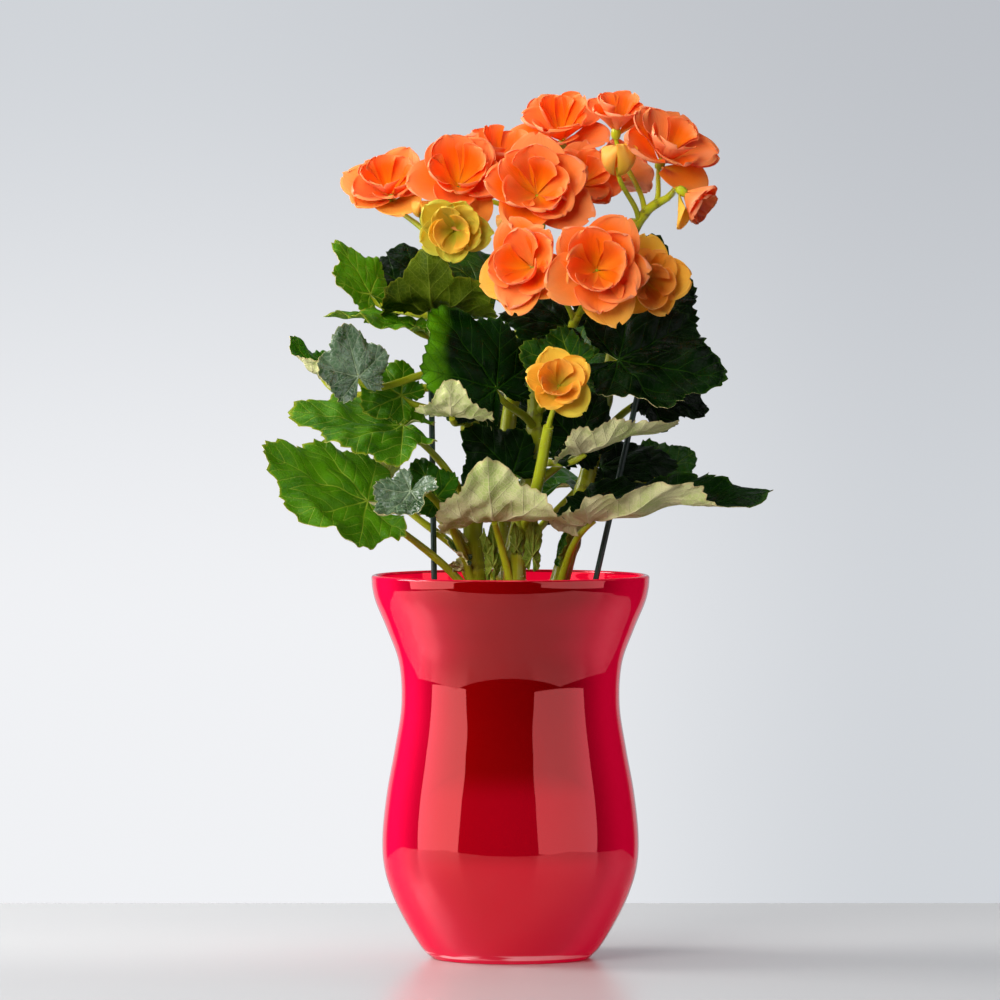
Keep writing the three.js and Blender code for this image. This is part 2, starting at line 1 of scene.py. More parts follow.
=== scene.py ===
import json
import math
import bmesh
import bpy
import numpy as np
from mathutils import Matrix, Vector

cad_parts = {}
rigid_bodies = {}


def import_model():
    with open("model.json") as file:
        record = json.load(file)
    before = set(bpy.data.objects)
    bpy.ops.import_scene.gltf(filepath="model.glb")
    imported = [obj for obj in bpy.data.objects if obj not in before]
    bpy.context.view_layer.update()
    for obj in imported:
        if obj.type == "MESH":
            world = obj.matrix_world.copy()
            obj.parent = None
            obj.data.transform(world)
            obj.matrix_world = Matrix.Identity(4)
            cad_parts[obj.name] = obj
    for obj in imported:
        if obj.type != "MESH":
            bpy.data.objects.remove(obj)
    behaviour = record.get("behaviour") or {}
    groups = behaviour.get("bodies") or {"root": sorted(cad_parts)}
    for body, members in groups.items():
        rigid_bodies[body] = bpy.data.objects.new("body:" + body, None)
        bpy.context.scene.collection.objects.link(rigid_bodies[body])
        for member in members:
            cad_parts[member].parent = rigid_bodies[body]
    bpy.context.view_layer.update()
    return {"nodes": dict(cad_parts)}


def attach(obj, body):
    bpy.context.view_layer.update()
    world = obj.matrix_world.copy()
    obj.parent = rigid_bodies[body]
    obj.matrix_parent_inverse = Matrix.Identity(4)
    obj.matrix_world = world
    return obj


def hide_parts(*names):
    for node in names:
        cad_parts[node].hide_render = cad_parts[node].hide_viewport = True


# A potted begonia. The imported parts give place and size, and each gets its fine surface here.
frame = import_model()
mm = 0.001  # the plant's tables below are in millimetres and degrees
print("frame loaded:", len(frame["nodes"]), "nodes")


def linkObject(name, data):
    linked = bpy.data.objects.new(name, data)
    bpy.context.scene.collection.objects.link(linked)
    return linked


cameraLook = {"place": (-0.0053, -4.0, 0.36), "tilt": 88.166, "lens": 284.9, "sensor": 36.0}


def makeCamera():
    data = bpy.data.cameras.new("camera")
    data.lens = cameraLook["lens"]
    data.sensor_width = cameraLook["sensor"]
    data.clip_end = 60.0
    camera = linkObject("camera", data)
    camera.location = cameraLook["place"]
    camera.rotation_euler = (math.radians(cameraLook["tilt"]), 0.0, 0.0)
    bpy.context.scene.camera = camera


# Soft boxes: middle, width and height in metres, the point that each faces, brightness and tint.
# wallRight only shows in reflections, and fillLeft only gives plain light.
softBoxes = {
    "keyLeft": {"at": (-1.45, 0.20, 1.05), "size": (0.8, 0.8), "to": (0.0, 0.0, 0.27), "bright": 13.0,
                "tint": (1.0, 0.98, 0.95), "diffuse": True, "glossy": True},
    "wallLeft": {"at": (-1.55, -0.62, 0.75), "size": (1.5, 1.9), "to": (0.0, -0.1, 0.3), "bright": 2.3,
                 "tint": (1.0, 0.99, 0.98), "diffuse": True, "glossy": True},
    "wallRight": {"at": (1.3, -0.95, 0.7), "size": (2.0, 1.7), "to": (0.0, 0.0, 0.3), "bright": 1.3,
                  "tint": (0.98, 0.99, 1.0), "diffuse": False, "glossy": True},
    "overhead": {"at": (-0.2, 0.1, 2.1), "size": (1.2, 1.2), "to": (0.0, 0.0, 0.0), "bright": 2.8,
                 "tint": (1.0, 1.0, 1.0), "diffuse": True, "glossy": True},
    "fillLeft": {"at": (-1.1, -2.1, 1.2), "size": (1.4, 1.4), "to": (0.0, 0.0, 0.3), "bright": 10.5,
                 "tint": (1.0, 0.99, 0.97), "diffuse": True, "glossy": False},
}


def makeLights():
    for name, box in softBoxes.items():
        data = bpy.data.lights.new(name, "AREA")
        data.shape = "RECTANGLE"
        data.size, data.size_y = box["size"]
        data.energy = box["bright"] * math.pi * box["size"][0] * box["size"][1]
        data.color = box["tint"]
        lamp = linkObject(name, data)
        lamp.location = box["at"]
        aim = Vector(box["to"]) - Vector(box["at"])
        lamp.rotation_euler = aim.to_track_quat("-Z", "Y").to_euler()
        lamp.visible_camera = False
        lamp.visible_diffuse = box["diffuse"]
        lamp.visible_transmission = box["diffuse"]
        lamp.visible_glossy = box["glossy"]


class Wire:  # a node's output with arithmetic, so that a formula reads as one
    def __init__(self, tree, socket):
        self.tree, self.socket = tree, socket

    def __add__(self, other):
        return calc(self.tree, "ADD", self, other)

    def __sub__(self, other):
        return calc(self.tree, "SUBTRACT", self, other)

    def __rsub__(self, other):
        return calc(self.tree, "SUBTRACT", other, self)

    def __mul__(self, other):
        return calc(self.tree, "MULTIPLY", self, other)

    def __truediv__(self, other):
        return calc(self.tree, "DIVIDE", self, other)

    __radd__ = __add__
    __rmul__ = __mul__


def feed(tree, slot, value):
    if isinstance(value, Wire):
        tree.links.new(value.socket, slot)
    elif value is not None:
        slot.default_value = value


def calc(tree, kind, *parts):
    node = tree.nodes.new("ShaderNodeMath")
    node.operation = kind
    for slot, part in zip(node.inputs, parts):
        feed(tree, slot, part)
    return Wire(tree, node.outputs[0])


def use(tree, kind, inputs=None, output=0, **settings):
    node = tree.nodes.new(kind)
    for key, value in settings.items():
        setattr(node, key, value)
    for key, value in (inputs or {}).items():
        feed(tree, node.inputs[key], value)
    return Wire(tree, node.outputs[output])


def attribute(tree, name):
    return use(tree, "ShaderNodeAttribute", output="Fac", attribute_name=name)


def ease(tree, value, low, high, start=0.0, end=1.0):
    span = {"Value": value, "From Min": low, "From Max": high, "To Min": start, "To Max": end}
    return use(tree, "ShaderNodeMapRange", span, interpolation_type="SMOOTHSTEP")


def blendColour(tree, share, first, second):
    node = tree.nodes.new("ShaderNodeMix")
    node.data_type = "RGBA"
    for index, value in ((0, share), (6, first), (7, second)):
        feed(tree, node.inputs[index], (*value, 1.0) if isinstance(value, tuple) else value)
    return Wire(tree, node.outputs[2])


def objectPlace(tree):
    return use(tree, "ShaderNodeTexCoord", output="Object")


def noise(tree, place, scale, detail=2.0, rough=0.5):
    inputs = {"Vector": place, "Scale": scale, "Detail": detail, "Roughness": rough}
    return use(tree, "ShaderNodeTexNoise", inputs)


def pointOf(tree, x, y, z):
    return use(tree, "ShaderNodeCombineXYZ", {"X": x, "Y": y, "Z": z})


def partOf(tree, place, axis):
    return use(tree, "ShaderNodeSeparateXYZ", {0: place}, output=axis)


def stretched(tree, place, scale):
    return use(tree, "ShaderNodeMapping", {"Vector": place, "Scale": scale})


def bumped(tree, height, distance, strength=1.0):
    return use(tree, "ShaderNodeBump", {"Height": height, "Distance": distance, "Strength": strength})


def newMaterial(name):
    material = bpy.data.materials.new(name)
    material.use_nodes = True
    material.node_tree.nodes.clear()
    return material, material.node_tree


def finishMaterial(tree, inputs, glow=None, glowShare=0.0):
    body = use(tree, "ShaderNodeBsdfPrincipled", inputs)
    if glow is not None:  # light that comes through a thin leaf or petal
        through = use(tree, "ShaderNodeBsdfTranslucent", {"Color": glow, "Normal": inputs.get("Normal")})
        body = use(tree, "ShaderNodeMixShader", {0: glowShare, 1: body, 2: through})
    out = tree.nodes.new("ShaderNodeOutputMaterial")
    tree.links.new(body.socket, out.inputs["Surface"])


def rgb(*parts):
    return (*parts, 1.0)


# Glass: the colours of the wall seen head-on, from the side and edge-on, and of the lit inner face. flank
# is painted light, a brighter red at the sides for light that comes through the wall; skim is painted shade,
# a dark violet edge where the wall is seen edge-on; within is the inner face painted brighter for the light
# through it; glint is a painted highlight, a pale streaked band round the foot; glow is the colour of a
# painted glow, light through the red wall, that the wall gives off by itself. The pairs say between which
# angles a finish fades: 0 is head-on and 1 edge-on. footGlow: heights in metres and the painted glow there.
glassLook = {
    "red": (0.36, 0.0006, 0.003), "deep": (0.29, 0.0003, 0.001), "flank": (0.52, 0.002, 0.035),
    "skim": (0.16, 0.001, 0.03), "within": (0.70, 0.004, 0.02), "glow": (1.0, 0.001, 0.04),
    "glint": (0.86, 0.52, 0.55), "glintHeight": (0.0022, 0.0042), "glintShare": 0.8, "edge": 0.0004,
    "rough": 0.03, "coat": 0.3, "backShine": 0.45, "withinGlow": 0.6, "flankGlow": 0.30, "skimDims": 0.8,
    "flankFrom": (0.1, 0.55), "skimFrom": (0.80, 0.95), "glowFrom": (0.06, 0.48), "dullFrom": (0.3, 0.62),
    "shineFrom": (0.3, 0.6), "footGlow": ((0.082, 0.100, 0.14), (0.049, 0.058, 0.10)),
}


def glassMaterial(look):
    material, tree = newMaterial("redGlass")
    place = objectPlace(tree)
    cloud = noise(tree, stretched(tree, place, (9.0, 9.0, 5.0)), 1.0, 2.0)
    body = blendColour(tree, ease(tree, cloud, 0.35, 0.7), look["deep"], look["red"])
    facing = use(tree, "ShaderNodeLayerWeight", {"Blend": 0.5}, output="Facing")
    # painted light: towards the sides the wall takes the brighter flank red, for light that comes through it
    body = blendColour(tree, ease(tree, facing, *look["flankFrom"]), body, look["flank"])
    # painted shade: seen edge-on, the wall takes the dark violet skim colour
    skim = ease(tree, facing, *look["skimFrom"])
    body = blendColour(tree, skim, body, look["skim"])
    # painted light: the inner face takes the brighter within red, for light that comes through the wall
    within = attribute(tree, "within")  # the wall's inner face, which light comes through
    body = blendColour(tree, within, body, look["within"])
    height = partOf(tree, place, "Z")
    # painted highlight: a pale, streaked glint in a thin band round the foot
    low, high = look["glintHeight"]
    edge = look["edge"]
    band = ease(tree, height, low - edge, low) * ease(tree, height, high, high + edge, 1.0, 0.0)
    streak = noise(tree, stretched(tree, place, (30.0, 30.0, 300.0)), 1.0, 2.0)
    glint = band * ease(tree, streak, 0.44, 0.56) * look["glintShare"]
    body = blendColour(tree, glint, body, look["glint"])
    wave = noise(tree, stretched(tree, place, (22.0, 22.0, 10.0)), 1.0, 1.0)
    # painted light: the wall glows by itself at the sides, low down and on the inner face
    upperGlow, lowerGlow = (ease(tree, height, *span, glow, 0.0) for *span, glow in look["footGlow"])
    flankGlow = ease(tree, facing, *look["glowFrom"], 0.0, look["flankGlow"])
    shone = calc(tree, "MAXIMUM", flankGlow, upperGlow + lowerGlow)
    shone = calc(tree, "MAXIMUM", shone * (1.0 - skim * look["skimDims"]), within * look["withinGlow"])
    mirror = ease(tree, facing, *look["dullFrom"], 0.5, 0.05) * ease(tree, within, 0.0, 1.0, 1.0, 0.2)
    finishMaterial(tree, {
        "Base Color": body, "Roughness": look["rough"], "IOR": 1.5, "Specular IOR Level": mirror,
        "Metallic": ease(tree, facing, *look["shineFrom"], look["backShine"], 0.0),  # the far wall's mirror
        "Coat Weight": ease(tree, facing, *look["shineFrom"], look["coat"], 0.0), "Coat Roughness": 0.02,
        "Emission Color": rgb(*look["glow"]), "Emission Strength": shone,  # light through the red wall
        "Normal": bumped(tree, wave, 0.0012, 0.18),
    })
    return material


def plainMaterial(name, look):
    material, tree = newMaterial(name)
    place = objectPlace(tree)
    grain = noise(tree, stretched(tree, place, look["stretch"]), look["scale"], 4.0, 0.6)
    finishMaterial(tree, {
        "Base Color": blendColour(tree, ease(tree, grain, 0.3, 0.7), look["dark"], look["light"]),
        "Roughness": ease(tree, grain, 0.2, 0.8, *look["rough"]),
        "Normal": bumped(tree, grain, look["bump"], 0.6),
    })
    return material


plainLooks = {
    "potPlastic": {"dark": (0.105, 0.034, 0.018), "light": (0.15, 0.052, 0.028), "stretch": (1, 1, 0.3),
                   "scale": 260.0, "rough": (0.42, 0.6), "bump": 0.0003},
    "soilCrumb": {"dark": (0.010, 0.006, 0.004), "light": (0.055, 0.034, 0.021), "stretch": (1, 1, 1),
                  "scale": 420.0, "rough": (0.85, 1.0), "bump": 0.0012},
    "perlite": {"dark": (0.50, 0.48, 0.43), "light": (0.72, 0.70, 0.66), "stretch": (1, 1, 1),
                "scale": 700.0, "rough": (0.8, 0.95), "bump": 0.0006},
    "stakePlastic": {"dark": (0.006, 0.022, 0.018), "light": (0.014, 0.045, 0.036), "stretch": (1, 1, 0.08),
                     "scale": 900.0, "rough": (0.32, 0.5), "bump": 0.0002},
    "hairWhite": {"dark": (0.55, 0.58, 0.36), "light": (0.72, 0.74, 0.52), "stretch": (1, 1, 1),
                  "scale": 300.0, "rough": (0.5, 0.6), "bump": 0.0001},
}

stemLook = {"young": (0.42, 0.47, 0.014), "old": (0.17, 0.18, 0.004), "blush": (0.16, 0.085, 0.006),
            "streak": (0.40, 0.44, 0.05), "scar": (0.05, 0.022, 0.008)}


def stemMaterial(look):
    material, tree = newMaterial("stemSkin")
    place = objectPlace(tree)
    cloud = noise(tree, place, 38.0, 3.0)
    streak = noise(tree, stretched(tree, place, (1.0, 1.0, 0.07)), 900.0, 2.0)
    youth = ease(tree, attribute(tree, "youth"), 0.0, 1.0)
    skin = blendColour(tree, youth, look["old"], look["young"])
    skin = blendColour(tree, ease(tree, cloud, 0.5, 0.75) * 0.45, skin, look["blush"])
    skin = blendColour(tree, ease(tree, streak, 0.45, 0.75) * 0.25, skin, look["streak"])
    scar = attribute(tree, "scar") * ease(tree, noise(tree, place, 500.0, 2.0), 0.3, 0.6)
    skin = blendColour(tree, scar, skin, look["scar"])
    finishMaterial(tree, {
        "Base Color": skin, "Roughness": ease(tree, cloud, 0.2, 0.8, 0.24, 0.4), "Specular IOR Level": 0.4,
        "Normal": bumped(tree, streak + cloud * 2.0, 0.0004, 0.5),
        "Subsurface Weight": 0.25, "Subsurface Radius": (0.6, 1.0, 0.2), "Subsurface Scale": 0.002,
    })
    return material


# Leaf finishes. veins and net: how strongly the veins and the finest ones show. glow: light through the
# blade. upperDark, upperMid and upperBright are one leaf colour painted for three amounts of light: Dark is
# painted shade for leaves that lie in shade, Bright painted light for leaves that the light reaches, and Mid
# lies between. The glossy silver-grey upper finish paints a reflection, a pale sheen of window light on dark
# glossy leaves, and on the papery scales low on the stems it is their real pale colour.
leafLooks = {
    # painted shade: the leaf colour for leaves that lie in shade
    "upperDark": {"dark": (0.0006, 0.004, 0.0003), "light": (0.002, 0.014, 0.0008),
                  "vein": (0.022, 0.075, 0.003), "rim": (0.02, 0.06, 0.003), "glow": (0.02, 0.12, 0.001),
                  "veins": 0.55, "net": 0.02, "rough": (0.26, 0.42), "shine": 0.09, "glowShare": 0.10},
    # painted half light, between the shaded and the lit leaf colour
    "upperMid": {"dark": (0.006, 0.042, 0.0008), "light": (0.020, 0.098, 0.002),
                 "vein": (0.17, 0.28, 0.015), "rim": (0.11, 0.18, 0.01), "glow": (0.10, 0.36, 0.002),
                 "veins": 0.8, "net": 0.06, "rough": (0.3, 0.46), "shine": 0.22, "glowShare": 0.26},
    # painted light: the leaf colour for leaves that the light reaches, also used for painted sunlit patches
    "upperBright": {"dark": (0.018, 0.090, 0.0008), "light": (0.070, 0.21, 0.002),
                    "vein": (0.36, 0.46, 0.04), "rim": (0.42, 0.42, 0.02), "glow": (0.22, 0.56, 0.003),
                    "veins": 0.85, "net": 0.08, "rough": (0.3, 0.46), "shine": 0.24, "glowShare": 0.32},
    # painted reflection: pale sheen of window light on a glossy leaf; on the papery scales, their real pale
    # colour
    "upperSilver": {"dark": (0.008, 0.036, 0.008), "light": (0.10, 0.17, 0.09),
                    "vein": (0.30, 0.38, 0.22), "rim": (0.34, 0.38, 0.20), "glow": (0.06, 0.22, 0.008),
                    "veins": 0.6, "net": 0.2, "rough": (0.16, 0.3), "shine": 1.0, "glowShare": 0.16},
    "underPale": {"dark": (0.50, 0.60, 0.17), "light": (0.84, 0.80, 0.42),
                  "vein": (0.86, 0.78, 0.46), "rim": (0.66, 0.46, 0.24), "glow": (0.62, 0.76, 0.16),
                  "veins": 0.7, "net": 0.5, "rough": (0.5, 0.66), "shine": 0.2, "glowShare": 0.34},
    "underGreen": {"dark": (0.12, 0.22, 0.014), "light": (0.28, 0.38, 0.04),
                   "vein": (0.44, 0.50, 0.09), "rim": (0.40, 0.40, 0.06), "glow": (0.30, 0.56, 0.02),
                   "veins": 0.7, "net": 0.4, "rough": (0.46, 0.62), "shine": 0.16, "glowShare": 0.34},
    "underOlive": {"dark": (0.026, 0.050, 0.001), "light": (0.075, 0.115, 0.002),
                   "vein": (0.20, 0.26, 0.02), "rim": (0.20, 0.22, 0.01), "glow": (0.12, 0.28, 0.003),
                   "veins": 0.65, "net": 0.25, "rough": (0.44, 0.6), "shine": 0.1, "glowShare": 0.28},
}
veinPlan = {"mainWide": 0.42, "mainThin": 0.1, "sideEvery": 8.5, "sideSlope": 1.15, "sideLean": 0.7,
            "sideWide": 0.16, "sideShare": 0.7, "netScale": 0.42, "netWide": 0.16, "rimFrom": (0.96, 0.995),
            "rimShare": 0.6, "netHeight": 0.35, "fineHeight": 0.12}


def leafMaterial(name, look):
    material, tree = newMaterial(name)
    along = attribute(tree, "along")
    away = attribute(tree, "away")
    share = attribute(tree, "share")
    place = objectPlace(tree)
    wide = ease(tree, share, 0.0, 1.0, veinPlan["mainWide"], veinPlan["mainThin"])
    main = 1.0 - ease(tree, away / wide, 0.6, 2.2)
    step = calc(tree, "FRACT", (along - away * veinPlan["sideSlope"]) / veinPlan["sideEvery"])
    gap = calc(tree, "ABSOLUTE", step - 0.5) * veinPlan["sideEvery"] * veinPlan["sideLean"]
    side = 1.0 - ease(tree, gap, veinPlan["sideWide"] * 0.5, veinPlan["sideWide"] * 2.2)
    onBlade = {"Vector": pointOf(tree, along, away, share), "Scale": veinPlan["netScale"]}
    cells = use(tree, "ShaderNodeTexVoronoi", onBlade, feature="DISTANCE_TO_EDGE")
    net = 1.0 - ease(tree, cells, 0.0, veinPlan["netWide"])
    veins = calc(tree, "MAXIMUM", main, side * veinPlan["sideShare"])
    cloud = noise(tree, place, 55.0, 3.0, 0.6)
    fine = noise(tree, place, 900.0, 2.0)
    colour = blendColour(tree, ease(tree, cloud, 0.32, 0.68), look["dark"], look["light"])
    # painted light: a sunlit patch takes the lit leaf colour of upperBright
    sun = ease(tree, attribute(tree, "sun") + cloud * 0.6, 0.45, 1.1)
    colour = blendColour(tree, sun, colour, leafLooks["upperBright"]["light"])
    colour = blendColour(tree, net * look["net"], colour, look["vein"])
    colour = blendColour(tree, veins * look["veins"], colour, look["vein"])
    rim = ease(tree, share, *veinPlan["rimFrom"]) * veinPlan["rimShare"]
    colour = blendColour(tree, rim, colour, look["rim"])
    relief = 1.0 if name.startswith("under") else -1.0  # veins are ridges below and grooves above
    height = (veins + net * veinPlan["netHeight"]) * relief + fine * veinPlan["fineHeight"]
    finishMaterial(tree, {
        "Base Color": colour, "Roughness": ease(tree, cloud, 0.25, 0.75, *look["rough"]),
        "Specular IOR Level": look["shine"], "Normal": bumped(tree, height, 0.0005, 0.7),
    }, glow=rgb(*look["glow"]), glowShare=look["glowShare"])
    return material


# Petal finishes: colour at the claw, over the middle and at the edge.
petalLooks = {
    "petalFront": {"claw": (1.0, 0.40, 0.008), "body": (1.0, 0.225, 0.004), "edge": (1.0, 0.38, 0.11),
                   "glow": (1.0, 0.23, 0.012), "glowShare": 0.44},
    "petalBack": {"claw": (1.0, 0.50, 0.08), "body": (1.0, 0.35, 0.10), "edge": (1.0, 0.46, 0.22),
                  "glow": (1.0, 0.26, 0.020), "glowShare": 0.44},
}
petalGreen = {"claw": (0.50, 0.55, 0.03), "edge": (1.0, 0.68, 0.075), "young": (0.60, 0.68, 0.08)}


def petalMaterial(name, look):
    material, tree = newMaterial(name)
    row = attribute(tree, "row")
    column = attribute(tree, "column")
    tint = attribute(tree, "tint")
    green = attribute(tree, "green")
    place = objectPlace(tree)
    lines = noise(tree, pointOf(tree, column * 16.0, row * 1.6, tint * 9.0), 1.0, 3.0, 0.55)
    cloud = noise(tree, place, 70.0, 2.0)
    colour = blendColour(tree, ease(tree, row + cloud * 0.5 - 0.25, 0.0, 0.62), look["claw"], look["body"])
    colour = blendColour(tree, ease(tree, row + cloud * 0.25, 0.80, 1.15), colour, look["edge"])
    colour = blendColour(tree, ease(tree, lines, 0.5, 0.72) * 0.28, colour, look["claw"])
    colour = blendColour(tree, ease(tree, tint + cloud * 0.4, 0.65, 1.35, 0.0, 0.8), colour, look["edge"])
    ripe = blendColour(tree, ease(tree, green, 0.95, 1.3), petalGreen["edge"], petalGreen["young"])
    leafy = blendColour(tree, ease(tree, row, 0.1, 0.8), petalGreen["claw"], ripe)
    colour = blendColour(tree, green, colour, leafy)
    glow = blendColour(tree, green, look["glow"], petalGreen["edge"])
    finishMaterial(tree, {
        "Base Color": colour, "Roughness": 0.48, "Specular IOR Level": 0.4,
        "Sheen Weight": 0.22, "Sheen Roughness": 0.4, "Sheen Tint": rgb(1.0, 0.58, 0.30),
        "Normal": bumped(tree, lines + noise(tree, place, 1400.0, 1.0) * 0.3, 0.0003, 0.6),
    }, glow=glow, glowShare=look["glowShare"])
    return material


makeCamera()
makeLights()
print("camera and lights made")

made = {"glass": glassMaterial(glassLook), "stem": stemMaterial(stemLook)}
made.update({name: plainMaterial(name, look) for name, look in plainLooks.items()})
made.update({name: leafMaterial(name, look) for name, look in leafLooks.items()})
made.update({name: petalMaterial(name, look) for name, look in petalLooks.items()})
print("materials made:", len(made))


def unit(vectors):
    return vectors / np.linalg.norm(vectors, axis=-1, keepdims=True)


def headingOf(aim):
    azimuth, elevation = np.radians(aim)
    flat = math.cos(elevation)
    return np.array([flat * math.cos(azimuth), flat * math.sin(azimuth), math.sin(elevation)])


def axesOf(aim, roll=0.0):
    along = headingOf(aim)
    up = unit(np.array([0.0, 0.0, 1.0]) - along * along[2])
    side = np.cross(up, along)
    turn = math.radians(roll)
    return along, side * math.cos(turn) + up * math.sin(turn), up * math.cos(turn) - side * math.sin(turn)


def rolled(along, height, turn, length):
    bend = np.radians(turn) / length
    bend = np.where(np.abs(bend) < 1e-5, 1e-5, bend)
    return (1 / bend - height) * np.sin(bend * along), 1 / bend - (1 / bend - height) * np.cos(bend * along)


def placed(base, axes, parts):
    return np.array(base, float) + sum(part[..., None] * axis for part, axis in zip(parts, axes))


# Short straight steps of a smooth curve from one point to the next. leave and reach are its directions
# there.
def curvedSteps(first, second, leave, reach, steps):
    t = np.arange(steps)[:, None] / steps
    return (first + leave * t + (3 * (second - first) - 2 * leave - reach) * t ** 2
            + (2 * (first - second) + leave + reach) * t ** 3)


# A smooth curve through points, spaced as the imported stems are.
def curveThrough(points, steps=24):
    points = np.array(points, float)
    ends = [2 * points[0] - points[1], *points, 2 * points[-1] - points[-2]]
    line = []
    for before, first, second, after in zip(ends, ends[1:], ends[2:], ends[3:]):
        pairs = ((before, first), (first, second), (second, after))
        into, gap, out = (np.linalg.norm(b - a) ** 0.5 for a, b in pairs)
        leave = (first - before) / into - (second - before) / (into + gap) + (second - first) / gap
        reach = (second - first) / gap - (after - first) / (gap + out) + (after - second) / out
        line.append(curvedSteps(first, second, leave * gap, reach * gap, steps))
    return np.vstack([*line, points[-1:]])


def lengthsOf(line):
    return np.concatenate([[0.0], np.cumsum(np.linalg.norm(np.diff(line, axis=0), axis=1))])


def onCurve(line, share):
    lengths = lengthsOf(line)
    return np.array([np.interp(share * lengths[-1], lengths, line[:, axis]) for axis in range(3)]).T


def headingOn(line, share):
    return unit(onCurve(line, min(share + 0.01, 1.0)) - onCurve(line, max(share - 0.01, 0.0)))


# Limbs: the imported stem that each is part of, its radius at both ends, and the points that it grows
# through.
stemTable = {
    "centre": {"stem": "stem_centre", "thick": (6.5, 3.6), "path": [
        (2, -6, 146), (2, -7, 182), (3, -6, 207), (9, -2, 234), (13, 2, 266), (12, 4, 304), (9, 3, 340)]},
    "centreHead": {"stem": "stem_centre", "thick": (3, 2), "path": [
        (9, 3, 334), (13, 2, 356), (17, 2, 380)]},
    "frontArm": {"stem": "stem_centre", "thick": (3, 2), "path": [
        (13, 3, 284), (24, -8, 306), (34, -24, 326)]},
    "budArm": {"stem": "stem_centre", "thick": (3.4, 2.6), "path": [
        (7, -5, 216), (13, -20, 238), (19, -38, 270)]},
    "left": {"stem": "stem_left", "thick": (6, 3.2), "path": [
        (-15, 0, 146), (-17, 0, 184), (-19, 1, 216), (-18, 3, 252), (-25, 3, 292), (-34, 2, 338)]},
    "leftHead": {"stem": "stem_left", "thick": (2.8, 2), "path": [
        (-33, 2, 332), (-38, 0, 350), (-42, -1, 366)]},
    "right": {"stem": "stem_right", "thick": (5.6, 2.8), "path": [
        (17, 6, 146), (23, 9, 182), (32, 13, 216), (42, 14, 256),
        (51, 12, 300), (58, 10, 340), (63, 6, 374)]},
    "rightHead": {"stem": "stem_right", "thick": (2.6, 1.8), "path": [
        (62, 7, 368), (70, 4, 379), (80, 1, 385)]},
    "back": {"stem": "stem_back", "thick": (5.6, 2.6), "path": [
        (0, 22, 146), (-2, 28, 190), (-4, 34, 240), (2, 38, 292), (8, 36, 340), (8, 34, 374)]},
}
stemLines = {name: curveThrough(limb["path"]) for name, limb in stemTable.items()}

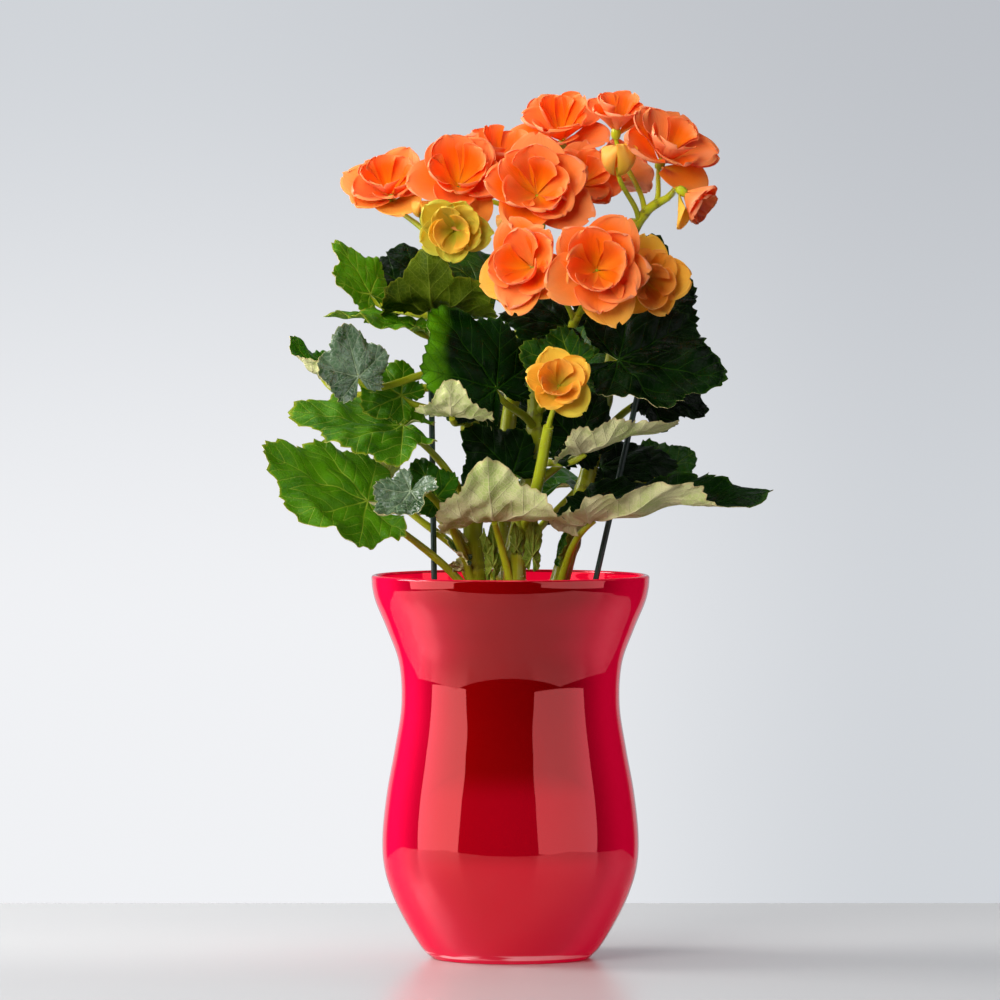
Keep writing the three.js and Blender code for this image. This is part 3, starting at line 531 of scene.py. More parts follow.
# Leaves: the limb and share where the stalk leaves, where it meets the blade, the midrib's azimuth and
# elevation, the turn about it, its length, the finishes of the upper and under face, and what departs
# from the usual blade.
leafTable = {
    "low_left": (("left", 0.17), (-72, -22, 232), (190, 22), -50, 58, "Bright", "Pale",
        {"broad": 0.84, "cup": (22, -18), "curl": (50, 10)}),
    "low_left_inner": (("left", 0.2), (-50, -50, 238), (216, -50), -30, 26, "Silver", "Pale",
        {"cup": (60, 30), "curl": (20, 50)}),
    "low_left_up": (("left", 0.26), (-64, 12, 243), (30, 58), -62, 27, "Mid", "Pale",
        {"broad": 0.7, "cup": (30, 20), "curl": (0, 20)}),
    "low_front": (("centre", 0.17), (-8, -30, 223), (-94, -4), 3, 44, "Mid", "Pale",
        {"broad": 1.04, "cup": (-12, -12), "curl": (10, 104), "fall": 0.66}),
    "low_right": (("right", 0.17), (40, -20, 223), (-5, 9), 4, 87, "Dark", "Pale",
        {"broad": 0.5, "cup": (70, 84), "curl": (10, 0), "fall": 0.8}),
    "mid_right": (("centre", 0.52), (35, -42, 257), (-4, 16), 4, 48, "Dark", "Pale",
        {"broad": 0.8, "cup": (10, 90), "curl": (0, 6), "fall": 0.7}),
    "up_right": (("right", 0.6), (54, -26, 303), (-10, -8), 60, 52, "Dark", "Pale",
        {"cup": (-10, 60), "curl": (0, -10), "fall": 0.6}),
    "up_right_back": (("right", 0.66), (66, 20, 322), (70, 70), 14, 46, "Dark", "Olive",
        {"cup": (10, -12), "curl": (0, -12)}),
    "right_dark": (("right", 0.5), (70, 14, 284), (4, -8), 50, 30, "Dark", "Olive",
        {"cup": (-10, -14), "curl": (0, -14), "fall": 0.66}),
    "right_low": (("right", 0.4), (76, 33, 243), (30, 34), 50, 25, "Mid", "Green",
        {"cup": (12, 12), "curl": (0, -20)}),
    "right_shade": (("right", 0.28), (46, 22, 248), (4, 8), 44, 38, "Dark", "Olive",
        {"broad": 0.7, "cup": (-10, 10), "curl": (0, -20)}),
    "heart": (("centre", 0.62), (-7, -38, 289), (184, 56), -66, 49, "Dark", "Pale",
        {"sun": (-26, -42), "broad": 0.86, "cup": (-24, 16), "curl": (0, -14), "fall": 0.72}),
    "left_bright": (("left", 0.64), (-55, -17, 285), (178, 34), -62, 25, "Bright", "Green",
        {"cup": (10, 14), "curl": (0, -14)}),
    "pale_front": (("left", 0.62), (-29, -59, 276), (-96, -4), -4, 27, "Mid", "Pale",
        {"cup": (-8, -8), "curl": (10, 96)}),
    "top_left": (("left", 0.93), (-38, -17.5, 328.5), (-98, 2), 0, 41, "Dark", "Olive",
        {"broad": 1.0, "cup": (-12, -16), "curl": (10, 102), "fall": 0.62}),
    "left_top": (("left", 0.9), (-71, 5, 336), (178, 62), -60, 31, "Bright", "Pale",
        {"broad": 0.7, "cup": (50, -20), "curl": (0, -20)}),
    "left_yellow": (("left", 0.84), (-48, -21, 320), (180, 12), -14, 43, "Bright", "Green",
        {"broad": 0.8, "cup": (24, -10), "curl": (0, -4), "fall": 0.8}),
    "left_dark": (("left", 0.77), (-76, -48, 295), (164, 74), -70, 26, "Silver", "Pale",
        {"cup": (30, -24), "curl": (0, 12)}),
    "left_pale": (("left", 0.72), (-93, 12, 293), (170, 38), -20, 27, "Mid", "Pale",
        {"cup": (60, 30), "curl": (0, 20)}),
    "left_mid": (("left", 0.4), (-54, -20, 270), (180, 4), -24, 54, "Bright", "Pale",
        {"broad": 0.86, "cup": (-10, 8), "curl": (0, 10), "fall": 0.7}),
    "top_back_left": (("left", 0.92), (-48, 18, 337), (104, 60), 0, 32, "Dark", "Olive",
        {"broad": 1.1, "cup": (-14, -14), "curl": (0, -30)}),
    "top_back": (("back", 0.8), (-7, 25, 336), (110, 50), 0, 38, "Mid", "Olive",
        {"cup": (10, 10), "curl": (0, -30)}),
    "bract": (("centre", 0.66), (31, -35, 301), (184, 10), -64, 28, "Mid", "Green",
        {"cup": (10, 20), "curl": (0, 30)}),
    "low_mid_dark": (("centre", 0.3), (1, -14, 246), (174, 46), -76, 31.5, "Dark", "Olive",
        {"cup": (-10, 10), "curl": (0, -12), "fall": 0.66}),
    "low_left_dark": (("left", 0.26), (-37, -24, 234), (150, 60), -40, 22, "Mid", "Green",
        {"cup": (10, 14), "curl": (0, -12)}),
    "centre_dark": (("centre", 0.46), (34, -6, 260), (24, 66), 60, 28, "Dark", "Olive",
        {"cup": (10, 14), "curl": (0, -20)}),
    "under_bloom": (("frontArm", 0.3), (28, -20, 320), (180, 14), -50, 32, "Dark", "Green",
        {"broad": 0.8, "cup": (-16, -10), "curl": (0, -16), "fall": 0.7}),
    "back_low_left": (("back", 0.14), (-40, 58, 226), (140, 10), 0, 58, "Mid", "Pale",
        {"cup": (14, 14), "curl": (0, -30)}),
    "back_low_right": (("back", 0.2), (34, 56, 238), (52, 8), 0, 60, "Mid", "Pale",
        {"cup": (14, 14), "curl": (0, -34)}),
    "back_mid": (("back", 0.4), (14, 50, 262), (96, 54), 0, 52, "Dark", "Pale",
        {"cup": (18, 12), "curl": (0, -40)}),
    "back_up_right": (("back", 0.6), (32, 48, 296), (74, 58), 0, 48, "Mid", "Olive",
        {"cup": (12, 12), "curl": (0, -36)}),
}

# Flowers: the limb and share that they grow from, their middle, the way that they face, radius, petals in
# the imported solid, the angle to which the outer ones open, the share of green in the lower outer petals,
# and petals added further in.
bloomTable = {
    "bloom_left": (("leftHead", 1), (-61, 4, 389), (-100, 46), 22, 7, 76, 0.85, 6),
    "bloom_left_inner": (("leftHead", 0.9), (-26, -20, 393), (-86, 36), 25, 7, 82, 0.3, 6),
    "bloom_top_left": (("leftHead", 0.8), (-4, 14, 404), (-80, 66), 22, 6, 74, 0.0, 5),
    "bloom_centre": (("centreHead", 0.9), (13, -36, 388), (-92, 26), 26, 7, 80, 0.0, 6),
    "bloom_centre_right": (("centreHead", 1), (36, 3, 392), (-66, 30), 20, 6, 80, 0.0, 5),
    "bloom_top": (("centreHead", 1), (26, 32, 419), (-96, 56), 23, 6, 80, 0.0, 5),
    "bloom_top_right": (("rightHead", 0.4), (54, 14, 423), (-80, 64), 18, 5, 60, 0.3, 4),
    "bloom_right": (("rightHead", 0.7), (79, 2, 408), (-60, 44), 25, 7, 78, 0.2, 5),
    "bloom_far_right": (("rightHead", 1), (90, -19, 385), (-24, -34), 15, 5, 46, 0.9, 6),
    "bloom_front_left": (("frontArm", 0.9), (9, -53, 350), (-116, 10), 23, 7, 74, 0.9, 6),
    "bloom_front": (("frontArm", 1), (43, -64, 349), (-88, 10), 25, 7, 80, 0.6, 6),
    "bloom_front_right": (("frontArm", 1), (68, -39, 343), (-72, 4), 20, 6, 68, 1.0, 5),
    "bloom_small": (("budArm", 1), (24, -62, 291), (-92, 16), 17, 6, 60, 1.15, 5),
    "bloom_young": (("leftHead", 0.7), (-28, -39, 368), (-96, -4), 18, 6, 54, 1.5, 7),
    "bloom_back_left": (("back", 1), (-24, 46, 394), (120, 40), 19, 6, 80, 0.3, 7),
    "bloom_back_right": (("back", 0.96), (56, 44, 396), (50, 44), 19, 6, 80, 0.3, 7),
}
# Closed buds: the limb and share that they grow from, their middle and radius.
budTable = [
    (("rightHead", 0.2), (54, -12, 404), 8.4),
    (("leftHead", 1), (-45, -14, 379), 4.4),
    (("rightHead", 0.9), (84, 12, 396), 4.6),
    (("back", 0.94), (-2, 44, 372), 5.0),
]


# Stalks: spacing of their points, how far they bend, how much they first follow the stem, radius and
# youth at both ends, how far a flower's reaches into it, and where a leaf's meets its blade: below, along
# and at what slope.
stalkShape = {
    "spacing": 1.6, "steps": 30, "bend": 0.32, "follow": 0.62, "flower": (1.5, 1.1),
    "flowerYouth": (0.9, 1.0), "leaf": (2.3, 1.5), "leafYouth": (0.55, 0.8), "leafSides": 12, "into": 1.5,
    "below": 1.1, "inward": 2, "slope": 0.5,
}


def stalkLine(grows, end, arrive):
    limb, share = grows
    line = stemLines[limb]
    start = onCurve(line, share)
    reach = np.linalg.norm(end - start) * stalkShape["bend"]
    leave = unit(headingOn(line, share) * stalkShape["follow"] + unit(end - start))
    t = np.linspace(0, 1, stalkShape["steps"])[:, None]
    return ((1 - t) ** 3 * start + 3 * (1 - t) ** 2 * t * (start + leave * reach)
            + 3 * (1 - t) * t ** 2 * (end - arrive * reach) + t ** 3 * end)


# Points closer than weld, in metres, become one, and edges over sharp, in degrees, stay sharp.
meshRules = {"weld": 1e-6, "sharp": 55.0}


def meshOf(name, points, faces, values, materials, picks=None):
    mesh = bpy.data.meshes.new(name)
    mesh.from_pydata((np.asarray(points) * mm).tolist(), [], faces)
    for key, numbers in values.items():
        layer = mesh.attributes.new(key, "FLOAT", "POINT")
        layer.data.foreach_set("value", np.asarray(numbers, np.float32))
    for material in materials:
        mesh.materials.append(material)
    if picks is not None:
        mesh.polygons.foreach_set("material_index", np.asarray(picks, np.int32))
    work = bmesh.new()
    work.from_mesh(mesh)
    bmesh.ops.remove_doubles(work, verts=work.verts, dist=meshRules["weld"])
    work.to_mesh(mesh)
    work.free()
    mesh.shade_smooth()
    mesh.set_sharp_from_angle(angle=math.radians(meshRules["sharp"]))
    mesh.update()
    return mesh


# A sheet given as a grid of points becomes a closed thin solid: upper face, under face and rim. margin is
# the share of the thickness that is left at the rim.
def thickSheet(grid, thickness, margin):
    rows, columns = grid.shape[:2]
    fromTip = np.arange(rows)[::-1, None]
    fromSide = np.minimum(np.arange(columns), np.arange(columns)[::-1])
    inside = np.minimum(fromTip, fromSide) / 2
    normals = np.cross(np.gradient(grid, axis=0), np.gradient(grid, axis=1))
    size = np.linalg.norm(normals, axis=-1, keepdims=True)
    normals = np.where(size > 1e-9, normals / np.maximum(size, 1e-9), 0.0)
    normals[0] = unit(normals[1].mean(0) + 1e-9)
    half = (thickness * (margin + (1 - margin) * np.clip(inside, 0, 1)) / 2)[..., None]
    points = np.concatenate([(grid + normals * half).reshape(-1, 3), (grid - normals * half).reshape(-1, 3)])
    index = np.arange(rows * columns).reshape(rows, columns)
    upper = np.stack([index[:-1, :-1], index[1:, :-1], index[1:, 1:], index[:-1, 1:]], -1).reshape(-1, 4)
    under = upper[:, ::-1] + rows * columns
    rim = np.concatenate([index[0, :-1], index[:-1, -1], index[-1, ::-1][:-1], index[::-1, 0][:-1]])
    after = np.roll(rim, -1)
    wall = np.stack([rim, after, after + rows * columns, rim + rows * columns], -1)
    faces = np.concatenate([upper, under, wall])
    picks = np.concatenate([np.zeros(len(upper)), np.ones(len(under) + len(wall))])
    return points, faces, picks


def onBothFaces(values):
    return {key: np.tile(numbers.ravel(), 2) for key, numbers in values.items()}


# The usual blade: lengths are shares of the midrib, angles degrees, relief and its widths millimetres.
# sun: between which x a sunlit patch grows, here nowhere. frills: size, pace and how near the rim they
# are.
bladeShape = {
    "notch": 158.0, "spokes": 14, "fewSpokes": 10, "small": 32, "rings": 34, "perSpoke": 15, "seed": 40,
    "broad": 0.94, "fall": 0.54, "skew": 0.1, "curl": (0, 10), "thickness": 0.55, "margin": 0.4,
    "lobe": 0.075, "lobeDepth": (0.6, 1.5), "teethPerSpoke": 3, "tooth": 0.055, "toothStray": 0.12,
    "wave": 0.05, "waves": 5, "frills": ((0.020, 13, 4), (0.012, 29, 7)),
    "crumple": 0.038, "crumples": 16, "crumplePace": (9, 32), "pillow": 1.2, "furrow": 1.0, "furrowWide": 1.3,
    "rib": 0.32, "ribWide": 0.9, "sun": (-900, -901),
}


def crumpleOf(x, y, draw):
    height = np.zeros_like(x)
    for _ in range(bladeShape["crumples"]):
        angle = draw.uniform(0, 2 * math.pi)
        pace = draw.uniform(*bladeShape["crumplePace"])
        shift = draw.uniform(0, 2 * math.pi)
        height += np.sin((x * math.cos(angle) + y * math.sin(angle)) * pace + shift) * 12 / pace
    return height / bladeShape["crumples"] ** 0.5


def bladeGrid(at, aim, roll, reach, change, seed):
    draw = np.random.default_rng(seed)
    shape = {**bladeShape, **change}
    spokes = shape["fewSpokes"] if reach < shape["small"] else shape["spokes"]
    perSpoke = shape["perSpoke"] * shape["spokes"] // spokes
    half = math.radians(shape["notch"])
    angle = np.linspace(-half, half, spokes * perSpoke + 1)[None, :]
    share = (np.arange(shape["rings"] + 1) / shape["rings"])[:, None]
    spoke = (angle / half + 1) / 2 * spokes
    between = np.abs(spoke % 2 - 1)  # 0 on a main vein, 1 midway to the next
    outline = 0.92 - shape["fall"] * (np.abs(angle) / half) ** 1.5 + 0.08 * np.exp(-((angle / 0.28) ** 2))
    margin = (outline + 0.035 * np.cos(angle * 5)) * (1 + shape["skew"] * np.sin(angle))
    stray = shape["toothStray"]
    jitter = draw.uniform(-stray, stray, spokes * 3 + 2)
    toothPlace = np.abs(spoke - spokes / 2) * shape["teethPerSpoke"] + 0.5
    toothNumber = np.floor(toothPlace).astype(int) % len(jitter)
    phase = toothPlace % 1
    saw = np.where(phase < 0.2, phase / 0.2, 1 - (phase - 0.2) / 0.8) - 0.5
    teeth = shape["tooth"] * saw * (0.8 + jitter[toothNumber] * 4)
    depth = draw.uniform(*shape["lobeDepth"], spokes + 1)[np.clip(np.floor(spoke), 0, spokes).astype(int)]
    lobes = shape["lobe"] * (0.5 - 1.5 * depth * between ** 1.6)
    radius = reach * share * (margin + (lobes + teeth) * share ** 4)
    x = radius * np.cos(angle)
    y = radius * np.sin(angle) * shape["broad"]
    spokeAngle = 2 * half / spokes
    along = radius * np.cos(between * spokeAngle)
    away = radius * np.sin(between * spokeAngle)
    ripple = reach * shape["wave"] * np.sin(shape["waves"] * angle + reach) * share ** 2.5
    for size, pace, power in shape["frills"]:
        ripple = ripple + reach * size * np.sin(pace * angle + draw.uniform(0, 6)) * share ** power
    crumple = crumpleOf(x / reach, y / reach, draw)
    ripple = ripple + reach * shape["crumple"] * crumple * np.minimum(share * 2.2, 1)
    furrow = np.exp(-((away / shape["furrowWide"]) ** 2)) * np.minimum(share * 6, 1) * (1.1 - share)
    step = (along - away * veinPlan["sideSlope"]) / veinPlan["sideEvery"] % 1
    fromRib = (step - 0.5) * veinPlan["sideEvery"] * veinPlan["sideLean"]
    rib = np.exp(-((fromRib / shape["ribWide"]) ** 2)) * np.minimum(away / 2, 1)
    pillow = np.sin(np.clip(between, 0, 1) * math.pi / 2) * np.minimum(share * 3, 1) * (1 - share ** 6)
    relief = shape["pillow"] * pillow - shape["furrow"] * furrow - shape["rib"] * rib
    ripple = ripple + relief * (reach / 50) ** 0.6
    cup = np.where(y > 0, *shape["cup"])
    curl = np.where(x > 0, *shape["curl"][::-1])
    across, lift = rolled(np.abs(y), ripple, cup, reach * shape["broad"] * 0.75)
    forward, height = rolled(np.abs(x), lift, curl, reach * np.where(x > 0, 1, 0.5))
    grid = placed(at, axesOf(aim, roll), (np.sign(x) * forward, np.sign(y) * across, height))
    full = np.ones_like(radius)
    return grid, {"along": along, "away": away, "share": share * full}


# Tubes along paths, by nodes: the path's own thickness, a little unevenness, and fine hairs if asked for.
# Hairs are a number to the square metre, and all lengths here are metres.
tubeShape = {"sides": 14, "uneven": 0.0004, "lumps": 160.0, "hairs": 0.0, "stemHairs": 60000.0,
             "hairLong": 0.0012, "hairThick": (0.00007, 0.00001), "seed": 7}


def groupInputs(tree, wanted):
    sockets = {}
    tree.interface.new_socket("Geometry", in_out="INPUT", socket_type="NodeSocketGeometry")
    for name, kind in wanted.items():
        socket = tree.interface.new_socket(name, in_out="INPUT", socket_type="NodeSocket" + kind)
        sockets[name] = socket.identifier
    tree.interface.new_socket("Geometry", in_out="OUTPUT", socket_type="NodeSocketGeometry")
    start = tree.nodes.new("NodeGroupInput")
    given = {name: Wire(tree, start.outputs[name]) for name in ("Geometry", *wanted)}
    return sockets, given, tree.nodes.new("NodeGroupOutput")


def finished(tree, body, material):
    body = use(tree, "GeometryNodeSetShadeSmooth", {"Geometry": body})
    return use(tree, "GeometryNodeSetMaterial", {"Geometry": body, "Material": material})


def scattered(tree, surface, density, seed):
    spots = tree.nodes.new("GeometryNodeDistributePointsOnFaces")
    for name, value in (("Mesh", surface), ("Density", density), ("Seed", seed)):
        feed(tree, spots.inputs[name], value)
    return Wire(tree, spots.outputs["Points"]), Wire(tree, spots.outputs["Rotation"])


def tubeTree():
    tree = bpy.data.node_groups.new("tubesAlongPaths", "GeometryNodeTree")
    sockets, given, end = groupInputs(tree, {
        "Sides": "Int", "Uneven": "Float", "Hairs": "Float", "Hair length": "Float", "Seed": "Int",
        "Skin": "Material", "Hair": "Material"})
    path = use(tree, "GeometryNodeMeshToCurve", {"Mesh": given["Geometry"]})
    thick = use(tree, "GeometryNodeInputNamedAttribute", {"Name": "thick"}, data_type="FLOAT")
    ring = use(tree, "GeometryNodeCurvePrimitiveCircle", {"Resolution": given["Sides"], "Radius": 1.0})
    skin = use(tree, "GeometryNodeCurveToMesh", {
        "Curve": path, "Profile Curve": ring, "Scale": thick, "Fill Caps": True})
    lump = use(tree, "ShaderNodeTexNoise", {"Scale": tubeShape["lumps"], "Detail": 2.0})
    outward = {0: use(tree, "GeometryNodeInputNormal"), "Scale": (lump - 0.5) * given["Uneven"]}
    push = use(tree, "ShaderNodeVectorMath", outward, operation="SCALE")
    skin = use(tree, "GeometryNodeSetPosition", {"Geometry": skin, "Offset": push})
    skin = finished(tree, skin, given["Skin"])
    spots, turn = scattered(tree, skin, given["Hairs"], given["Seed"])
    root, tip = tubeShape["hairThick"]
    hair = use(tree, "GeometryNodeMeshCone", {
        "Vertices": 3, "Radius Bottom": root, "Radius Top": tip, "Depth": given["Hair length"]},
        output="Mesh")
    hairs = use(tree, "GeometryNodeInstanceOnPoints", {"Points": spots, "Instance": hair, "Rotation": turn})
    hairs = use(tree, "GeometryNodeRealizeInstances", {"Geometry": hairs})
    hairs = use(tree, "GeometryNodeSetMaterial", {"Geometry": hairs, "Material": given["Hair"]})
    whole = tree.nodes.new("GeometryNodeJoinGeometry")
    for part in (hairs, skin):
        tree.links.new(part.socket, whole.inputs[0])
    tree.links.new(whole.outputs[0], end.inputs[0])
    return tree, sockets


# A profile of radius and height, given as a line of points, is turned about the middle by nodes.
def turnedTree():
    tree = bpy.data.node_groups.new("turnedProfile", "GeometryNodeTree")
    sockets, given, end = groupInputs(tree, {
        "Sides": "Int", "Points": "Int", "Inner start": "Int", "Material": "Material"})
    lines = given["Sides"] + 1.0
    size = {"Vertices X": given["Points"], "Vertices Y": lines}
    grid = use(tree, "GeometryNodeMeshGrid", size, output="Mesh")
    index = use(tree, "GeometryNodeInputIndex")
    row = calc(tree, "FLOOR", (index + 0.5) / lines)
    turn = (index - row * lines) * (2 * math.pi) / given["Sides"]
    wanted = {"Geometry": given["Geometry"], "Value": use(tree, "GeometryNodeInputPosition"), "Index": row}
    sample = use(tree, "GeometryNodeSampleIndex", wanted, data_type="FLOAT_VECTOR")
    radius, height = partOf(tree, sample, "X"), partOf(tree, sample, "Z")
    spot = pointOf(tree, radius * calc(tree, "COSINE", turn), radius * calc(tree, "SINE", turn), height)
    body = use(tree, "GeometryNodeSetPosition", {"Geometry": grid, "Position": spot})
    within = ease(tree, row, given["Inner start"] - 0.5, given["Inner start"] + 0.5)
    stored = {"Geometry": body, "Name": "within", "Value": within}
    body = use(tree, "GeometryNodeStoreNamedAttribute", stored, data_type="FLOAT", domain="POINT")
    body = use(tree, "GeometryNodeMergeByDistance", {"Geometry": body, "Distance": 0.000002})
    body = use(tree, "GeometryNodeSetShadeSmooth", {"Geometry": body})
    body = use(tree, "GeometryNodeRealizeInstances", {"Geometry": body})
    body = use(tree, "GeometryNodeSetMaterial", {"Geometry": body, "Material": given["Material"]})
    tree.links.new(body.socket, end.inputs[0])
    return tree, sockets


# Crumbs scattered over a surface by nodes: small rough balls, sunk halfway in.
def crumbTree():
    tree = bpy.data.node_groups.new("crumbsOnSurface", "GeometryNodeTree")
    sockets, given, end = groupInputs(tree, {
        "Density": "Float", "Size": "Float", "Seed": "Int", "Material": "Material"})
    upward = partOf(tree, use(tree, "GeometryNodeInputNormal"), "Z")
    density = given["Density"] * ease(tree, upward, 0.4, 0.6)
    spots, _ = scattered(tree, given["Geometry"], density, given["Seed"])
    ball = use(tree, "GeometryNodeMeshIcoSphere", {"Radius": given["Size"], "Subdivisions": 1}, output="Mesh")
    turn = {0: (0.0, 0.0, 0.0), 1: (6.28, 6.28, 6.28), "Seed": given["Seed"]}
    grow = {0: (0.35, 0.35, 0.3), 1: (1.2, 1.0, 0.9), "Seed": given["Seed"] + 5.0}
    turn, grow = (use(tree, "FunctionNodeRandomValue", span, data_type="FLOAT_VECTOR")
                  for span in (turn, grow))
    balls = use(tree, "GeometryNodeInstanceOnPoints", {
        "Points": spots, "Instance": ball, "Rotation": turn, "Scale": grow})
    balls = use(tree, "GeometryNodeRealizeInstances", {"Geometry": balls})
    rough = use(tree, "ShaderNodeTexNoise", {"Scale": 900.0, "Detail": 2.0}, output="Color")
    shift = use(tree, "ShaderNodeVectorMath", {0: rough, 1: (0.5, 0.5, 0.5)}, operation="SUBTRACT")
    shift = use(tree, "ShaderNodeVectorMath", {0: shift, "Scale": given["Size"] * 0.9}, operation="SCALE")
    balls = use(tree, "GeometryNodeSetPosition", {"Geometry": balls, "Offset": shift})
    feed(tree, end.inputs[0], finished(tree, balls, given["Material"]))
    return tree, sockets


def throughNodes(name, base, treeAndSockets, values):
    tree, sockets = treeAndSockets
    holder = linkObject(name + "Holder", base)
    modifier = holder.modifiers.new("nodes", "NODES")
    modifier.node_group = tree
    for key, value in values.items():
        modifier[sockets[key]] = value
    graph = bpy.context.evaluated_depsgraph_get()
    mesh = bpy.data.meshes.new_from_object(holder.evaluated_get(graph))
    mesh.name = name
    bpy.data.objects.remove(holder)
    return mesh


def pathMesh(name, paths):
    points, edges, values = [], [], {"thick": [], "youth": [], "scar": []}
    for path in paths:
        first = len(points)
        points += (path["line"] * mm).tolist()
        edges += [(first + i, first + i + 1) for i in range(len(path["line"]) - 1)]
        values["thick"] += (path["thick"] * mm).tolist()
        values["youth"] += path["youth"].tolist()
        values["scar"] += path["scar"].tolist()
    mesh = bpy.data.meshes.new(name)
    mesh.from_pydata(points, edges, [])
    for key, numbers in values.items():
        mesh.attributes.new(key, "FLOAT", "POINT").data.foreach_set("value", np.array(numbers, np.float32))
    return mesh


# Joints on a stem: how much and over what length it swells, and the brown scar just above.
jointShape = {"swell": 0.16, "swellLong": 3.4, "scar": 0.9, "scarUp": 1.5, "scarLong": 1.0}


def evenPath(line, thick, youth, swells=()):
    lengths = lengthsOf(line)
    count = max(int(lengths[-1] / stalkShape["spacing"]), 6)
    share = np.linspace(0, 1, count + 1)
    points = np.stack([onCurve(line, s) for s in share])
    radius = thick[0] + (thick[1] - thick[0]) * share
    scar = np.zeros_like(share)
    for swell in swells:
        apart = (share - swell) * lengths[-1]
        radius = radius * (1 + jointShape["swell"] * np.exp(-((apart / jointShape["swellLong"]) ** 2)))
        above = (apart - jointShape["scarUp"]) / jointShape["scarLong"]
        scar = np.maximum(scar, jointShape["scar"] * np.exp(-(above ** 2)))
    return {"line": points, "thick": radius, "youth": youth[0] + (youth[1] - youth[0]) * share, "scar": scar}


def asPiece(mesh, node):
    piece = linkObject(node + "_fine", mesh)
    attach(piece, "root")
    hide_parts(node)


tubes, turnings, crumbs = tubeTree(), turnedTree(), crumbTree()


def tubeMesh(name, paths, **change):
    shape = {**tubeShape, **change}
    return throughNodes(name, pathMesh(name + "Paths", paths), tubes, {
        "Sides": shape["sides"], "Uneven": shape["uneven"], "Hairs": shape["hairs"],
        "Hair length": shape["hairLong"], "Seed": shape["seed"],
        "Skin": made["stem"], "Hair": made["hairWhite"]})


def joinMeshes(name, meshes):
    holders = [linkObject(f"{name}Part{i}", mesh) for i, mesh in enumerate(meshes)]
    with bpy.context.temp_override(active_object=holders[0], selected_editable_objects=holders):
        bpy.ops.object.join()
    mesh = holders[0].data
    mesh.name = name
    bpy.data.objects.remove(holders[0])
    return mesh


def bloomBase(at, size, facing):
    return np.array(at, float) - petalShape["behind"] * size * facing


def stemsOf(stem):
    paths = []
    for name, limb in stemTable.items():
        if limb["stem"] != stem:
            continue
        joints = [row[0][1] for row in leafTable.values() if row[0][0] == name]
        joints += [row[0][1] for row in bloomTable.values() if row[0][0] == name and row[0][1] < 1]
        swells = [share for share in joints if share > 0.06]
        if "Head" in name or "Arm" in name:
            swells.append(0.0)
        youth = (0.1, 0.85) if len(limb["path"]) > 4 else (0.7, 1.0)
        paths.append(evenPath(stemLines[name], limb["thick"], youth, swells))
    carried = []
    for grows, at, face, size, *_ in bloomTable.values():
        facing = headingOf(face)
        carried.append((grows, bloomBase(at, size, facing) + stalkShape["into"] * facing, facing))
    for grows, at, radius in budTable:
        carried.append((grows, np.array(at, float) - (0, 0, radius / 2), np.array([0, 0, 1.0])))
    for grows, end, facing in carried:
        if stemTable[grows[0]]["stem"] == stem:
            line = stalkLine(grows, end, facing)
            paths.append(evenPath(line, stalkShape["flower"], stalkShape["flowerYouth"]))
    return paths


def bladeMesh(name, grid, values, thickness, upper, under):
    points, faces, picks = thickSheet(grid, thickness, bladeShape["margin"])
    materials = [made["upper" + upper], made["under" + under]]
    return meshOf(name, points, faces.tolist(), onBothFaces(values), materials, picks)


def leafStalkMesh(name, grows, at, aim, roll):
    along, _, up = axesOf(aim, roll)
    end = np.array(at, float) - up * stalkShape["below"] + along * stalkShape["inward"]
    line = stalkLine(grows, end, unit(along + up * stalkShape["slope"]))
    path = evenPath(line, stalkShape["leaf"], stalkShape["leafYouth"])
    return tubeMesh(name + "Stalk", [path], sides=stalkShape["leafSides"])


def buildLeaves():
    for order, (name, row) in enumerate(leafTable.items()):
        grows, at, aim, roll, reach, upper, under, change = row
        grid, values = bladeGrid(at, aim, roll, reach, change, bladeShape["seed"] + order)
        first, last = {**bladeShape, **change}["sun"]
        values["sun"] = np.clip((first - grid[..., 0]) / (first - last), 0, 1)
        blade = bladeMesh(name, grid, values, bladeShape["thickness"], upper, under)
        stalk = leafStalkMesh(name, grows, at, aim, roll)
        asPiece(joinMeshes(name, [blade, stalk]), "leaf_" + name)
    print("leaves made:", len(leafTable))


# Petals: pairs of length, width and open are the outermost petal's measure and how much less the
# innermost has. Lengths are shares of the flower's radius, angles degrees, depth and thickness
# millimetres. longer and wider are the spread of chance, and added is for the petals further in.
petalShape = {
    "thickness": 0.45, "margin": 0.3, "rows": 20, "columns": 19, "turn": 137.5, "firstTurn": 40, "seed": 90,
    "length": (1.28, 0.36), "width": (1.74, 0.56), "open": (1.12, 1.02), "ease": 1.4, "depth": 7.4,
    "leave": 52.0, "claw": 0.16, "widest": 0.6, "round": 2.3, "ruffle": 0.032, "crease": 0.45, "cup": 0.15,
    "longer": (0.9, 1.04), "wider": (0.86, 1.06), "stray": 12.0, "behind": 0.42,
    "addedFrom": 0.26, "addedSpan": 0.7, "addedTurn": 68, "addedSize": 0.95,
}


